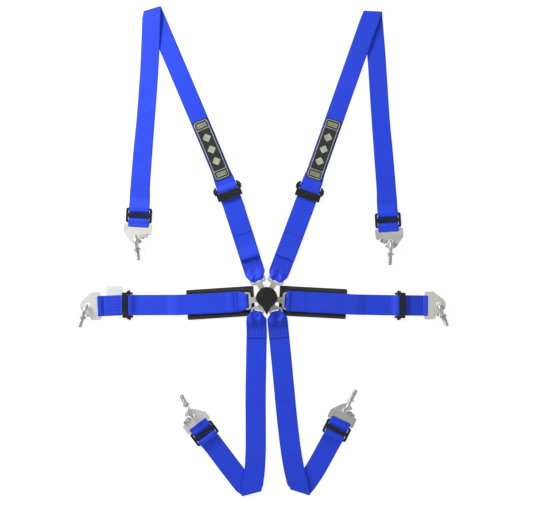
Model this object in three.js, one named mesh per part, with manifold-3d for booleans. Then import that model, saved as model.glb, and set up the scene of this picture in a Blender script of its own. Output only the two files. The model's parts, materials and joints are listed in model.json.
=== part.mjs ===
// Six-point racing harness with a rotary buckle, laid out flat.
// Units are millimetres. +X is the wearer's left-to-right, +Y runs towards the shoulder straps, +Z is up.
// The origin is the axis of the buckle, on its underside, which lies on the floor plane.
import * as THREE from 'three';
import { mergeVertices } from 'three/addons/utils/BufferGeometryUtils.js';
import Module from 'manifold-3d';

const wasm = await Module();
wasm.setup();

// ---- driving dimensions ------------------------------------------------------------------------
const WEB = 1.3; // thickness of the webbing
const GAP = 0.3; // clearance between neighbouring pieces
const LAYER = WEB + GAP; // one more layer of webbing lies this much higher
const FLOOR = WEB / 2; // height of the middle of webbing that lies on the floor
const WIDE = 50; // sewn ends, lap straps and crotch straps
const NARROW = 45; // long shoulder straps where they lie free
const FOLD_RADIUS = 3; // bend of the webbing where a strap is folded over

const TONGUE_T = 2.5;
const TONGUE_Z = 9.75; // middle of every tongue plate
const TONGUE_BAR = 2.3; // the loop of webbing turns round the bar at this distance from the slot's middle
const TONGUE_LOOP = TONGUE_T / 2 + GAP + WEB / 2;

const HOUSING_R = 25.5;
const HOUSING_BOTTOM = 2.8;
const HOUSING_TOP = 15.6;
const COVER_TOP = 17.2;
const KNOB_R = 26.2;
const KNOB_BOTTOM = 17.5;
const KNOB_HEIGHT = 10.5;
const LEVER_REACH = 38.5;
const HUB_BOTTOM = 12.2; // the knob's hub reaches down through the cover plate

const PAD_LENGTH = 166;
const PAD_WIDTH = 74;
const PAD_T = 6.3;

const HOOK_T = 3;
const HOOK_BAR = 8; // middle of the slot's outer bar, measured back from the hook plate's origin
const HOOK_BAR_Z = 4.2;
const HOOK_LOOP = HOOK_T / 2 + GAP + 0.15 + WEB / 2;
const EYE = new THREE.Vector2(-2.7, -23); // centre of the eye in the hook plate
const EYE_R = 6.6;

const RING_R = 12.75; // eyebolt ring, to the middle of the bar it is bent from
const RING_BAR = 8.5;
const SHANK_D = 11.1; // 7/16 inch
const EYEBOLT_REACH = 56.5; // from the eye in the hook plate to the tip of the shank

const SLIDE_LENGTH = 37;
const SLIDE_WIDTH = 64;
const SLIDE_SLOT = 25.9; // half the length of its slots
const SLIDE_T = 2.5;
const SLIDE_Z = 4.85; // middle of the three-bar slide
const SLIDE_BACK = 31; // the slide's middle, measured back from the hook's slot edge

const BAR_X = 9; // knurled bar of an adjuster, from the adjuster's own origin
const BAR_Z = 5.2;
const BAR_R = 3.4;
const BAR_WRAP = BAR_R + GAP + WEB / 2;
const CHEEK_IN = 25.8;
const CHEEK_T = 5.4;
const EAR_T = 8.9; // the cheeks where they hold the ends of the knurled bar
const LIP_BOTTOM = 9.2;
const LIP_TOP = 11.4;
const FIXED_BAR_R = 2;
const FIXED_BAR_Z = 3.7;
const FIXED_WRAP = FIXED_BAR_R + GAP + WEB / 2;
const BAR_TRAVEL = 1.4; // room for the knurled bar in its slots

// ---- materials ---------------------------------------------------------------------------------
function finish(color, roughness, metalness) {
  return new THREE.MeshStandardMaterial({ color, roughness, metalness });
}
const webbingBlue = finish(0x1f45dc, 0.75, 0);
const padBlack = finish(0x16181a, 0.9, 0);
const labelBlack = finish(0x1a1c1c, 0.8, 0);
const tagWhite = finish(0xe6e8f2, 0.7, 0);
const zincSatin = finish(0xc6c8c2, 0.42, 0.9);
const boltBright = finish(0xd4d6da, 0.22, 1);
const steelBlack = finish(0x17181a, 0.38, 0.7);
const knobBlack = finish(0x1b1d1c, 0.35, 0.2);
const springSteel = finish(0x8f9296, 0.3, 1);

// ---- general helpers ---------------------------------------------------------------------------
const root = new THREE.Group();

// A piece that moves carries the line it turns about or slides along, in userData.joint.
function add(name, geometry, material, joint = null) {
  const mesh = new THREE.Mesh(geometry, material);
  mesh.name = name;
  mesh.userData.joint = joint;
  root.add(mesh);
}

const radians = THREE.MathUtils.degToRad;

const heading = (degrees) => new THREE.Vector2(Math.cos(radians(degrees)), Math.sin(radians(degrees)));

function welded(geometry) {
  const bare = geometry.clone();
  bare.deleteAttribute('normal');
  bare.deleteAttribute('uv');
  return mergeVertices(bare, 1e-4);
}

function toManifold(geometry) {
  const mesh = welded(geometry);
  return new wasm.Manifold(new wasm.Mesh({
    numProp: 3,
    vertProperties: new Float32Array(mesh.attributes.position.array),
    triVerts: new Uint32Array(mesh.index.array),
  }));
}

function fromManifold(body) {
  const mesh = body.getMesh();
  const geometry = new THREE.BufferGeometry();
  geometry.setAttribute('position', new THREE.BufferAttribute(new Float32Array(mesh.vertProperties), 3));
  geometry.setIndex(new THREE.BufferAttribute(new Uint32Array(mesh.triVerts), 1));
  geometry.computeVertexNormals();
  return geometry;
}

function join(...geometries) {
  return fromManifold(geometries.map(toManifold).reduce((whole, piece) => whole.add(piece)));
}

function cut(geometry, ...tools) {
  const whole = toManifold(geometry);
  return fromManifold(tools.map(toManifold).reduce((left, tool) => left.subtract(tool), whole));
}

function common(geometry, other) {
  return fromManifold(toManifold(geometry).intersect(toManifold(other)));
}

// Turn a geometry about Z by an angle in degrees, then move it to a place.
function placed(geometry, angle, x, y, z = 0) {
  const moved = geometry.clone();
  moved.rotateZ(radians(angle));
  moved.translate(x, y, z);
  return moved;
}

function box(x0, x1, y0, y1, z0, z1) {
  const geometry = new THREE.BoxGeometry(x1 - x0, y1 - y0, z1 - z0);
  geometry.translate((x0 + x1) / 2, (y0 + y1) / 2, (z0 + z1) / 2);
  return geometry;
}

function cylinder(radius, z0, z1, segments = 24) {
  const geometry = new THREE.CylinderGeometry(radius, radius, z1 - z0, segments);
  geometry.rotateX(Math.PI / 2);
  geometry.translate(0, 0, (z0 + z1) / 2);
  return geometry;
}

// A round bar along Y between two values of y.
function crossBar(radius, x, z, y0, y1, segments = 12) {
  const geometry = new THREE.CylinderGeometry(radius, radius, y1 - y0, segments);
  geometry.translate(x, (y0 + y1) / 2, z);
  return geometry;
}

function plate(shape, z0, z1, curveSegments = 6) {
  const geometry = new THREE.ExtrudeGeometry(shape, { depth: z1 - z0, bevelEnabled: false, curveSegments });
  geometry.translate(0, 0, z0);
  return geometry;
}

// A rectangle with rounded corners, from x0 to x1 and y0 to y1.
function roundedShape(x0, x1, y0, y1, r) {
  const shape = new THREE.Shape();
  shape.moveTo(x0 + r, y0);
  shape.lineTo(x1 - r, y0);
  shape.quadraticCurveTo(x1, y0, x1, y0 + r);
  shape.lineTo(x1, y1 - r);
  shape.quadraticCurveTo(x1, y1, x1 - r, y1);
  shape.lineTo(x0 + r, y1);
  shape.quadraticCurveTo(x0, y1, x0, y1 - r);
  shape.lineTo(x0, y0 + r);
  shape.quadraticCurveTo(x0, y0, x0 + r, y0);
  return shape;
}

function polygon(points) {
  return new THREE.Shape(points.map(([x, y]) => new THREE.Vector2(x, y)));
}

// ---- webbing -----------------------------------------------------------------------------------
// The line on the floor plan that the middle of a strap follows, measured from its first point.
function planLine(points) {
  const stops = points.map((p) => new THREE.Vector3(p.x, p.y, 0));
  const curve = new THREE.CatmullRomCurve3(stops, false, 'centripetal');
  const length = curve.getLength();
  return {
    length,
    at(distance) {
      const u = THREE.MathUtils.clamp(distance / length, 0, 1);
      const point = curve.getPointAt(u);
      const tangent = curve.getTangentAt(u);
      point.addScaledVector(tangent, distance - u * length);
      return { point, tangent, angle: THREE.MathUtils.radToDeg(Math.atan2(tangent.y, tangent.x)) };
    },
  };
}

// Cross lines of a strap. Each row of the profile is [distance, height, width]. Side is 1, or -1 where
// the strap has been folded over and runs back, so that the same selvedge stays the left one.
function crossLines(line, side, profile) {
  return profile.map(([distance, height, width]) => {
    const { point, tangent } = line.at(distance);
    const across = new THREE.Vector3(-tangent.y, tangent.x, 0).multiplyScalar(side * width / 2);
    point.z = height;
    return { left: point.clone().add(across), right: point.clone().sub(across) };
  });
}

// Webbing folded over a line on the plan: it rolls up (1) or down (-1) round a half circle.
function foldOver(left, right, away, height, up) {
  const steps = 6;
  return Array.from({ length: steps + 1 }, (_, i) => {
    const turn = Math.PI * i / steps;
    const shift = new THREE.Vector3(away.x, away.y, 0).multiplyScalar(FOLD_RADIUS * Math.sin(turn));
    shift.z = height + up * FOLD_RADIUS * (1 - Math.cos(turn));
    return { left: left.clone().add(shift), right: right.clone().add(shift) };
  });
}

// A solid strap through a row of cross lines.
function ribbon(lines, thickness = WEB) {
  const spans = lines.length - 1;
  const geometry = new THREE.BoxGeometry(spans, 1, 1, spans, 1, 1);
  const middle = lines.map(({ left, right }) => left.clone().add(right).multiplyScalar(0.5));
  const normals = lines.map(({ left, right }, i) => {
    const before = middle[i].clone().sub(middle[Math.max(i - 1, 0)]).normalize();
    const after = middle[Math.min(i + 1, spans)].clone().sub(middle[i]).normalize();
    return before.add(after).cross(left.clone().sub(right)).normalize();
  });
  const position = geometry.attributes.position;
  for (let i = 0; i < position.count; i += 1) {
    const index = Math.round(position.getX(i) + spans / 2);
    const edge = position.getY(i) > 0 ? lines[index].left : lines[index].right;
    const point = edge.clone().addScaledVector(normals[index], Math.sign(position.getZ(i)) * thickness / 2);
    position.setXYZ(i, point.x, point.y, point.z);
  }
  return welded(geometry);
}

// Rows of a profile that go round a bar: from one angle to another, in the plane of distance and height.
function roundBar(distance, height, radius, from, to, width, steps = 4) {
  return Array.from({ length: steps + 1 }, (_, i) => {
    const turn = radians(from + (to - from) * i / steps);
    return [distance + radius * Math.cos(turn), height + radius * Math.sin(turn), width];
  });
}

// ---- buckle ------------------------------------------------------------------------------------
// Every tongue's neck lies on a radius of the buckle. Its slotted head is cranked towards the strap.
const TONGUES = {
  right_shoulder: { neck: 62.5, head: 67, reach: 47, width: 40 },
  left_shoulder: { neck: 117.5, head: 112, reach: 47, width: 40 },
  left_lap: { neck: 190, head: 184, reach: 47.5, width: 43 },
  left_crotch: { neck: 236, head: 258, reach: 40, width: 33 },
  right_crotch: { neck: 304, head: 282, reach: 40, width: 33 },
  right_lap: { neck: 350, head: 356, reach: 47.5, width: 43 },
};
const NECK_HALF = 7;
const NECK_FLARE = 5; // the neck widens this much on each side where it meets the head
const TIP_HALF = 4.6;
const TIP_REACH = 13;
const PIN_REACH = 17.5;
const PIN_R = 1.8;

// A loop shaped like the letter D: its corners are rounder on the side of the buckle.
function loopShape(x0, x1, half, inner, outer) {
  const shape = new THREE.Shape();
  shape.moveTo(x0 + inner, -half);
  shape.lineTo(x1 - outer, -half);
  shape.quadraticCurveTo(x1, -half, x1, outer - half);
  shape.lineTo(x1, half - outer);
  shape.quadraticCurveTo(x1, half, x1 - outer, half);
  shape.lineTo(x0 + inner, half);
  shape.quadraticCurveTo(x0, half, x0, half - inner);
  shape.lineTo(x0, inner - half);
  shape.quadraticCurveTo(x0, -half, x0 + inner, -half);
  return shape;
}

function neckShape(reach) {
  const end = reach - 6;
  const wide = NECK_HALF + NECK_FLARE;
  const shape = new THREE.Shape();
  shape.moveTo(TIP_REACH, -TIP_HALF);
  shape.lineTo(PIN_REACH + 4, -NECK_HALF);
  shape.lineTo(end - 9, -NECK_HALF);
  shape.quadraticCurveTo(end - 2, -NECK_HALF, end - 1, -wide);
  shape.lineTo(end, -wide);
  shape.lineTo(end, wide);
  shape.lineTo(end - 1, wide);
  shape.quadraticCurveTo(end - 2, NECK_HALF, end - 9, NECK_HALF);
  shape.lineTo(PIN_REACH + 4, NECK_HALF);
  shape.lineTo(TIP_REACH, TIP_HALF);
  return shape;
}

function tongue({ neck, head, reach, width }) {
  const half = width / 2;
  const stem = neckShape(reach);
  const body = loopShape(-8.5, 6.8, half, 9, 3);
  const slot = loopShape(-2.8, 2, half - 4, 3, 1);
  const bottom = TONGUE_Z - TONGUE_T / 2;
  const top = TONGUE_Z + TONGUE_T / 2;
  const centre = heading(neck).multiplyScalar(reach);
  const pinAt = heading(neck).multiplyScalar(PIN_REACH);
  const solid = join(
    placed(plate(stem, bottom, top, 5), neck, 0, 0),
    placed(plate(body, bottom, top, 6), head, centre.x, centre.y),
  );
  return cut(
    solid,
    placed(plate(slot, bottom - 1, top + 1, 4), head, centre.x, centre.y),
    placed(cylinder(PIN_R + 0.6, bottom - 1, top + 1, 12), 0, pinAt.x, pinAt.y),
  );
}

function buildBuckle() {
  const rivetR = 4;
  add('back_plate', cylinder(HOUSING_R, 0, HOUSING_BOTTOM - GAP, 36), zincSatin);

  const slots = Object.values(TONGUES).map(({ neck }) => placed(
    box(TIP_REACH, HOUSING_R + 5, -NECK_HALF - 0.5, NECK_HALF + 0.5, TONGUE_Z - 1.65, TONGUE_Z + 1.65),
    neck, 0, 0,
  ));
  const wall = 2.5;
  const hollow = cylinder(HOUSING_R - wall, HOUSING_BOTTOM - 1, HOUSING_TOP + 1, 36);
  add('housing', cut(cylinder(HOUSING_R, HOUSING_BOTTOM, HOUSING_TOP, 36), hollow, ...slots), steelBlack);

  const tab = polygon([[-13, -20], [0, -43.5], [13, -20]]);
  const cover = join(
    cylinder(HOUSING_R, HOUSING_TOP + GAP, COVER_TOP, 36),
    plate(tab, HOUSING_TOP + GAP, COVER_TOP),
  );
  add('cover_plate', cut(cover, cylinder(rivetR + 2 + GAP, HOUSING_TOP, COVER_TOP + 1, 16)), zincSatin);

  // A shouldered rivet holds the buckle together from the back plate to the knob.
  const rivetTop = KNOB_BOTTOM + 4;
  const rivetProfile = [
    [0, HOUSING_BOTTOM], [rivetR + 2, HOUSING_BOTTOM], [rivetR + 2, HOUSING_BOTTOM + 0.8],
    [rivetR, HOUSING_BOTTOM + 0.8], [rivetR, rivetTop], [0, rivetTop],
  ];
  add('centre_rivet', new THREE.LatheGeometry(rivetProfile.map(([r, z]) => new THREE.Vector2(r, z)), 20)
    .rotateX(Math.PI / 2), springSteel);

  // A ring that the knob lifts carries one pin for each tongue that lets go. The pins end just above the
  // tongues, so that every tongue can be drawn out with the others still in.
  const ring = cut(cylinder(20.5, 12.2, 13.7, 30), cylinder(10, 12, 14.2, 20));
  const pins = Object.entries(TONGUES)
    .filter(([name]) => name !== 'right_lap')
    .map(([, { neck }]) => {
      const at = heading(neck).multiplyScalar(PIN_REACH);
      return placed(cylinder(PIN_R, TONGUE_Z + TONGUE_T / 2 + GAP, 12.8, 10), 0, at.x, at.y);
    });
  add('lock_ring', join(ring, ...pins), springSteel);
  const fixed = heading(TONGUES.right_lap.neck).multiplyScalar(PIN_REACH);
  const fixedPin = placed(cylinder(PIN_R, HOUSING_BOTTOM + 0.2, 11.8, 10), 0, fixed.x, fixed.y);
  add('fixed_tongue_pin', fixedPin, springSteel);

  // The knob's return spring is a helix round the rivet, below the knob's hub.
  const turns = 4;
  const springR = 5.6;
  const springBottom = 4.6;
  const springTop = HUB_BOTTOM - 1;
  const wire = new THREE.Shape().absarc(0, 0, 0.6, 0, 2 * Math.PI);
  const helix = new THREE.CatmullRomCurve3(Array.from({ length: turns * 10 + 1 }, (_, i) => {
    const turn = 2 * Math.PI * i / 10;
    const height = springBottom + (springTop - springBottom) * i / (turns * 10);
    return new THREE.Vector3(springR * Math.cos(turn), springR * Math.sin(turn), height);
  }));
  const coil = new THREE.ExtrudeGeometry(wire, { steps: turns * 12, extrudePath: helix, curveSegments: 3 });
  add('return_spring', welded(coil), springSteel);

  // The knob is a round cap with a lever that points down between the crotch straps.
  const outline = new THREE.Shape();
  outline.absarc(0, 0, KNOB_R, radians(-14), radians(194), false);
  outline.quadraticCurveTo(-21, -17, -12, -20.5);
  outline.quadraticCurveTo(-7.5, -28, -2.5, 1 - LEVER_REACH);
  outline.quadraticCurveTo(0, -LEVER_REACH - 1, 2.5, 1 - LEVER_REACH);
  outline.quadraticCurveTo(7.5, -28, 12, -20.5);
  outline.quadraticCurveTo(21, -17, KNOB_R * Math.cos(radians(-14)), KNOB_R * Math.sin(radians(-14)));
  const domeR = 40;
  const domeSteps = 6;
  const dome = Array.from({ length: domeSteps + 1 }, (_, i) => {
    const r = domeR * i / domeSteps;
    return new THREE.Vector2(r, KNOB_BOTTOM + KNOB_HEIGHT - 5 * (r / domeR) ** 2);
  });
  const domeBody = new THREE.LatheGeometry(
    [new THREE.Vector2(0, KNOB_BOTTOM), new THREE.Vector2(domeR, KNOB_BOTTOM), ...dome.reverse()], 32,
  ).rotateX(Math.PI / 2);
  const cap = common(plate(outline, KNOB_BOTTOM - 1, KNOB_BOTTOM + 12, 8), domeBody);
  const hub = cylinder(rivetR + 2, HUB_BOTTOM, KNOB_BOTTOM + 1, 20);
  const bore = cylinder(rivetR + GAP, HUB_BOTTOM - 1, rivetTop + GAP, 20);
  add('release_knob', cut(join(cap, hub), bore), knobBlack);
}

// ---- hook ends ---------------------------------------------------------------------------------
const PIVOT = new THREE.Vector2(12.7, -21.6); // gate rivet in the hook plate
const RIVET_R = 1.5;
const GATE_T = 1.5;

// The hook plate lies with its strap slot up +Y. Its mouth opens on the +X side, beside the eye.
function hookShape() {
  const noseR = 18.5;
  const shape = new THREE.Shape();
  shape.moveTo(-33, 11);
  shape.lineTo(-35, 7);
  shape.lineTo(-35, -11);
  shape.absarc(EYE.x, EYE.y, noseR, radians(220), radians(328), false);
  const mouthTip = heading(330).multiplyScalar(EYE_R + 5).add(EYE);
  shape.lineTo(mouthTip.x, mouthTip.y);
  shape.absarc(EYE.x, EYE.y, EYE_R, radians(326), radians(-8), true);
  shape.lineTo(9.5, -26.4);
  shape.quadraticCurveTo(14, -28.5, 18, -24);
  shape.quadraticCurveTo(21.5, -18, 33, -14);
  shape.lineTo(34, 7);
  shape.lineTo(32, 11);
  shape.closePath();
  shape.holes.push(roundedShape(-26, 26, 1.5, 5, 0.6));
  return shape;
}

function hookPlate(under) {
  const stemTop = HOOK_T / 2 + GATE_T + 2 * GAP;
  const rivet = join(cylinder(RIVET_R, 0, stemTop + 0.5, 10), cylinder(3, stemTop, stemTop + 1.2, 10));
  if (under) {
    rivet.rotateX(Math.PI);
  }
  return join(plate(hookShape(), -HOOK_T / 2, HOOK_T / 2, 5), placed(rivet, 0, PIVOT.x, PIVOT.y));
}

// The gate is a flat lever that lies across the mouth, with its outer end rolled up for the thumb.
function gateLever(under) {
  const bottom = HOOK_T / 2 + GAP;
  const lever = roundedShape(-8, 10, -4.6, 4.6, 2.5);
  const curl = new THREE.Shape();
  curl.absarc(0, 0, 2.6, radians(-90), radians(150), false);
  curl.absarc(0, 0, 1.3, radians(150), radians(-90), true);
  curl.closePath();
  const roll = new THREE.ExtrudeGeometry(curl, { depth: 9.2, bevelEnabled: false, curveSegments: 3 });
  roll.rotateX(Math.PI / 2);
  roll.translate(9.6, 4.6, bottom + 2.6);
  const body = cut(join(plate(lever, bottom, bottom + GATE_T, 3), roll), cylinder(RIVET_R + GAP, 0, 6, 10));
  if (under) {
    body.rotateX(Math.PI);
  }
  return placed(body, 14, PIVOT.x, PIVOT.y);
}

// The eye of the bolt stands on edge. The origin is the hook's eye at floor level; the shank points down -Y.
function eyebolt(eyeHeight) {
  const ringCentre = RING_R + RING_BAR / 2;
  const rise = ringCentre - eyeHeight;
  const ringAway = Math.sqrt(RING_R ** 2 - rise ** 2);
  const reach = EYEBOLT_REACH - ringAway;
  const droop = Math.asin((ringCentre - SHANK_D / 2) / reach);
  const ring = new THREE.TorusGeometry(RING_R, RING_BAR / 2, 8, 16);
  ring.rotateY(Math.PI / 2);
  const length = reach / Math.cos(droop);
  const collarAt = RING_R + RING_BAR / 2 - 0.6;
  const profile = [
    [0, RING_R - 1], [4.6, RING_R - 1], [4.6, collarAt], [9, collarAt], [9, collarAt + 4],
    [SHANK_D / 2, collarAt + 4], [SHANK_D / 2, length - 1.2], [SHANK_D / 2 - 1.2, length], [0, length],
  ];
  const shank = new THREE.LatheGeometry(profile.map(([r, y]) => new THREE.Vector2(r, y)), 14);
  shank.rotateX(Math.PI);
  const bolt = join(ring, shank);
  bolt.rotateX(droop);
  bolt.translate(0, -ringAway, ringCentre);
  return bolt;
}

// The frame of a strap's end: x is across the strap, y points back along it and z is up.
function endFrame(line, distance) {
  const { point, angle } = line.at(distance);
  return { x: point.x, y: point.y, turn: angle - 270 };
}

function flipFaces(geometry) {
  const index = geometry.index.array;
  for (let i = 0; i < index.length; i += 3) {
    const first = index[i];
    index[i] = index[i + 1];
    index[i + 1] = first;
  }
}

function buildHookEnd(name, line, slotEdge, { mirror, tilt, gateUnder, boltSwing }) {
  const { x, y, turn } = endFrame(line, slotEdge);
  const lean = radians(tilt);
  const lift = HOOK_BAR_Z + HOOK_BAR * Math.sin(lean);
  const side = mirror ? -1 : 1;
  const toWorld = new THREE.Matrix4().makeTranslation(x, y, 0)
    .multiply(new THREE.Matrix4().makeRotationZ(radians(turn)))
    .multiply(new THREE.Matrix4().makeScale(side, 1, 1));
  const plateToWorld = toWorld.clone()
    .multiply(new THREE.Matrix4().makeTranslation(0, 0, lift))
    .multiply(new THREE.Matrix4().makeRotationX(-lean));
  const put = (geometry, matrix) => {
    const moved = geometry.clone().applyMatrix4(matrix);
    if (mirror) {
      flipFaces(moved);
    }
    return moved;
  };
  add(`${name}_hook_plate`, put(hookPlate(gateUnder), plateToWorld), zincSatin);

  const gateAxis = new THREE.Vector3(0, 0, -side).transformDirection(plateToWorld);
  const gatePoint = new THREE.Vector3(PIVOT.x, PIVOT.y, 0).applyMatrix4(plateToWorld);
  const gate = put(gateLever(gateUnder), plateToWorld);
  add(`${name}_hook_gate`, gate, boltBright, { point: gatePoint, axis: gateAxis });

  const eyeY = EYE.y * Math.cos(lean);
  const eyeHeight = lift - EYE.y * Math.sin(lean);
  const bolt = placed(eyebolt(eyeHeight), boltSwing, EYE.x, eyeY);
  const boltPoint = new THREE.Vector3(EYE.x, eyeY, eyeHeight).applyMatrix4(toWorld);
  const boltAxis = new THREE.Vector3(0, 0, side);
  add(`${name}_eyebolt`, put(bolt, toWorld), boltBright, { point: boltPoint, axis: boltAxis });
}

// ---- three-bar slide ---------------------------------------------------------------------------
function buildSlide(name, line, slotEdge) {
  const half = SLIDE_WIDTH / 2;
  const shape = roundedShape(-half, half, -SLIDE_LENGTH / 2, SLIDE_LENGTH / 2, 5);
  shape.holes.push(roundedShape(-SLIDE_SLOT, SLIDE_SLOT, 5, 13.5, 0.8));
  shape.holes.push(roundedShape(-SLIDE_SLOT, SLIDE_SLOT, -13.5, -5, 0.8));
  const frame = endFrame(line, slotEdge - SLIDE_BACK);
  const slide = plate(shape, SLIDE_Z - SLIDE_T / 2, SLIDE_Z + SLIDE_T / 2, 2);
  add(`${name}_three_bar_slide`, placed(slide, frame.turn, frame.x, frame.y), steelBlack);
}

// The profile of a strap that goes through the slide, round the hook plate's bar and back through the slide.
function slideAndHook(slotEdge, tilt) {
  const at = (x, z) => [slotEdge + x, z, WIDE];
  const over = SLIDE_Z + SLIDE_T / 2 + GAP + 0.1 + WEB / 2;
  const under = SLIDE_Z - SLIDE_T / 2 - GAP - WEB / 2;
  const barZ = HOOK_BAR_Z + 3 * Math.sin(radians(tilt));
  return [
    at(-76, FLOOR), at(-66, FLOOR + LAYER), at(-57, 5.2), at(-50, over + LAYER), at(-41.5, over + LAYER),
    at(-38, under), at(-25.2, under), at(-18.8, over), at(-13, over),
    at(-10, 6.6), ...roundBar(slotEdge - 5.2, barZ, HOOK_LOOP, 75, -75, WIDE, 5),
    at(-10.2, FLOOR), at(-24, FLOOR), at(-27, under - LAYER), at(-39, under - LAYER),
    at(-42.5, over), at(-49.5, over), at(-56, 3.2), at(-63, FLOOR),
  ];
}

// ---- length adjusters --------------------------------------------------------------------------
// Local x runs from the sewn strap's side to the loose strap's side; the knurled bar lies at BAR_X.
function adjusterFrame(lipEdge, lipEnd, fixedBarX, earTip, travel) {
  const cheekProfile = polygon([
    [lipEdge + 3, 1.2], [fixedBarX - 3, 0.2], [earTip - 9, 0.2], [earTip, 4.4], [earTip - 2.5, 8],
    [earTip - 7, LIP_TOP - 1], [4, LIP_TOP], [lipEdge + 1, LIP_TOP],
  ]);
  const cheek = new THREE.ExtrudeGeometry(cheekProfile, { depth: CHEEK_T, bevelEnabled: false });
  cheek.rotateX(Math.PI / 2);
  const left = cheek.clone().translate(0, CHEEK_IN + CHEEK_T, 0);
  const right = cheek.clone().translate(0, -CHEEK_IN, 0);
  // Each cheek is thicker round the end of the knurled bar.
  const earStart = Math.max(fixedBarX + 5, 1);
  const earShape = polygon([
    [earStart, 2.4], [earStart + 3, 0.8], [earTip - 10, 0.8], [earTip - 3.5, 4.4], [earTip - 5, 8],
    [earTip - 8, LIP_TOP - 1.5], [earStart + 2, LIP_TOP - 1.5], [earStart, LIP_TOP - 3.5],
  ]);
  const ear = new THREE.ExtrudeGeometry(earShape, { depth: EAR_T, bevelEnabled: false });
  ear.rotateX(Math.PI / 2);
  const leftEar = ear.clone().translate(0, CHEEK_IN + EAR_T, 0);
  const rightEar = ear.clone().translate(0, -CHEEK_IN, 0);
  const lip = new THREE.Shape();
  lip.moveTo(lipEnd, -CHEEK_IN - 1);
  lip.lineTo(lipEnd, CHEEK_IN + 1);
  lip.lineTo(lipEdge + 2, CHEEK_IN + 1);
  lip.quadraticCurveTo(lipEdge - 2, 0, lipEdge + 2, -CHEEK_IN - 1);
  const roof = plate(lip, LIP_BOTTOM, LIP_TOP, 8);
  const bar = crossBar(FIXED_BAR_R, fixedBarX, FIXED_BAR_Z, -CHEEK_IN - 1, CHEEK_IN + 1, 10);
  const slotR = BAR_R + 0.4;
  const slotStart = BAR_X + Math.min(travel, 0) - slotR;
  const slotEnd = BAR_X + Math.max(travel, 0) + slotR;
  const slotShape = roundedShape(slotStart, slotEnd, BAR_Z - slotR, BAR_Z + slotR, slotR - 0.1);
  const slot = new THREE.ExtrudeGeometry(slotShape, { depth: 80, bevelEnabled: false, curveSegments: 3 });
  slot.rotateX(Math.PI / 2);
  slot.translate(0, 40, 0);
  return cut(join(left, right, leftEar, rightEar, roof, bar), slot);
}

function knurledBar() {
  const end = CHEEK_IN + EAR_T + 1.6;
  return join(
    crossBar(BAR_R, BAR_X, BAR_Z, -end + 1, end - 1, 14),
    crossBar(2.4, BAR_X, BAR_Z, -end, end, 10),
  );
}

function buildAdjuster(name, { x, y, angle }, frame) {
  add(`${name}_adjuster_frame`, placed(frame, angle, x, y), steelBlack);
  add(`${name}_adjuster_bar`, placed(knurledBar(), angle, x, y), steelBlack);
}

// ---- straps ------------------------------------------------------------------------------------
const point = (x, y) => new THREE.Vector2(x, y);
const step = (from, degrees, distance) => heading(degrees).multiplyScalar(distance).add(from);

function headPoint(name) {
  const { neck, reach } = TONGUES[name];
  return heading(neck).multiplyScalar(reach);
}

// How far along a line the point nearest to a place lies.
function along(line, place) {
  const steps = 800;
  let best = 0;
  let nearest = Infinity;
  for (let i = 0; i <= steps; i += 1) {
    const distance = line.length * i / steps;
    const gap = line.at(distance).point.distanceTo(new THREE.Vector3(place.x, place.y, 0));
    if (gap < nearest) {
      nearest = gap;
      best = distance;
    }
  }
  return best;
}

// Webbing is gathered in the tongue's slot and spreads to its full width a little way out.
function spread(rows, slotWidth, full = WIDE) {
  const spreadLength = 20;
  return rows.map(([distance, height]) => {
    const part = THREE.MathUtils.clamp((distance - TONGUE_BAR) / spreadLength, 0, 1);
    return [distance, height, slotWidth + (full - slotWidth) * Math.sin(part * Math.PI / 2)];
  });
}

// Round the tongue's bar, from the upper layer to the lower one.
const tongueLoop = roundBar(TONGUE_BAR, TONGUE_Z, TONGUE_LOOP, 90, 270, 0, 6);

// The fold line's two ends are where the folded edge shows from above.
function fold(leftEnd, rightEnd, tangent, height, up) {
  const left = new THREE.Vector3(leftEnd.x, leftEnd.y, 0);
  const right = new THREE.Vector3(rightEnd.x, rightEnd.y, 0);
  const away = new THREE.Vector3(left.y - right.y, right.x - left.x, 0).normalize();
  if (away.dot(tangent) < 0) {
    away.negate();
  }
  const inset = away.clone().multiplyScalar(-FOLD_RADIUS - WEB / 2);
  return foldOver(left.add(inset), right.add(inset), away, height, up);
}

const HIGH = FLOOR + 2 * FOLD_RADIUS; // the upper layer next to a fold

const SHOULDERS = {
  left_shoulder: {
    adjuster: point(-93.6, 258.2), adjusterAngle: 110.5,
    foldLeft: point(-303.1, 702), foldRight: point(-259.9, 715.2), frontOnTop: false,
    back: [point(-287, 581.6), point(-293.3, 483.6), point(-301.5, 385.6), point(-309.5, 287.6)],
    slide: point(-313, 201.1), slot: point(-315, 170), boltSwing: 7.6,
  },
  right_shoulder: {
    adjuster: point(103, 257), adjusterAngle: 71,
    foldLeft: point(236.7, 703.6), foldRight: point(283.5, 701.2), frontOnTop: true,
    back: [point(270, 581.6), point(276.1, 483.6), point(283.5, 385.6), point(292, 287.6)],
    slide: point(297.2, 190), slot: point(299.2, 158.3), boltSwing: 6,
  },
};

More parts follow.
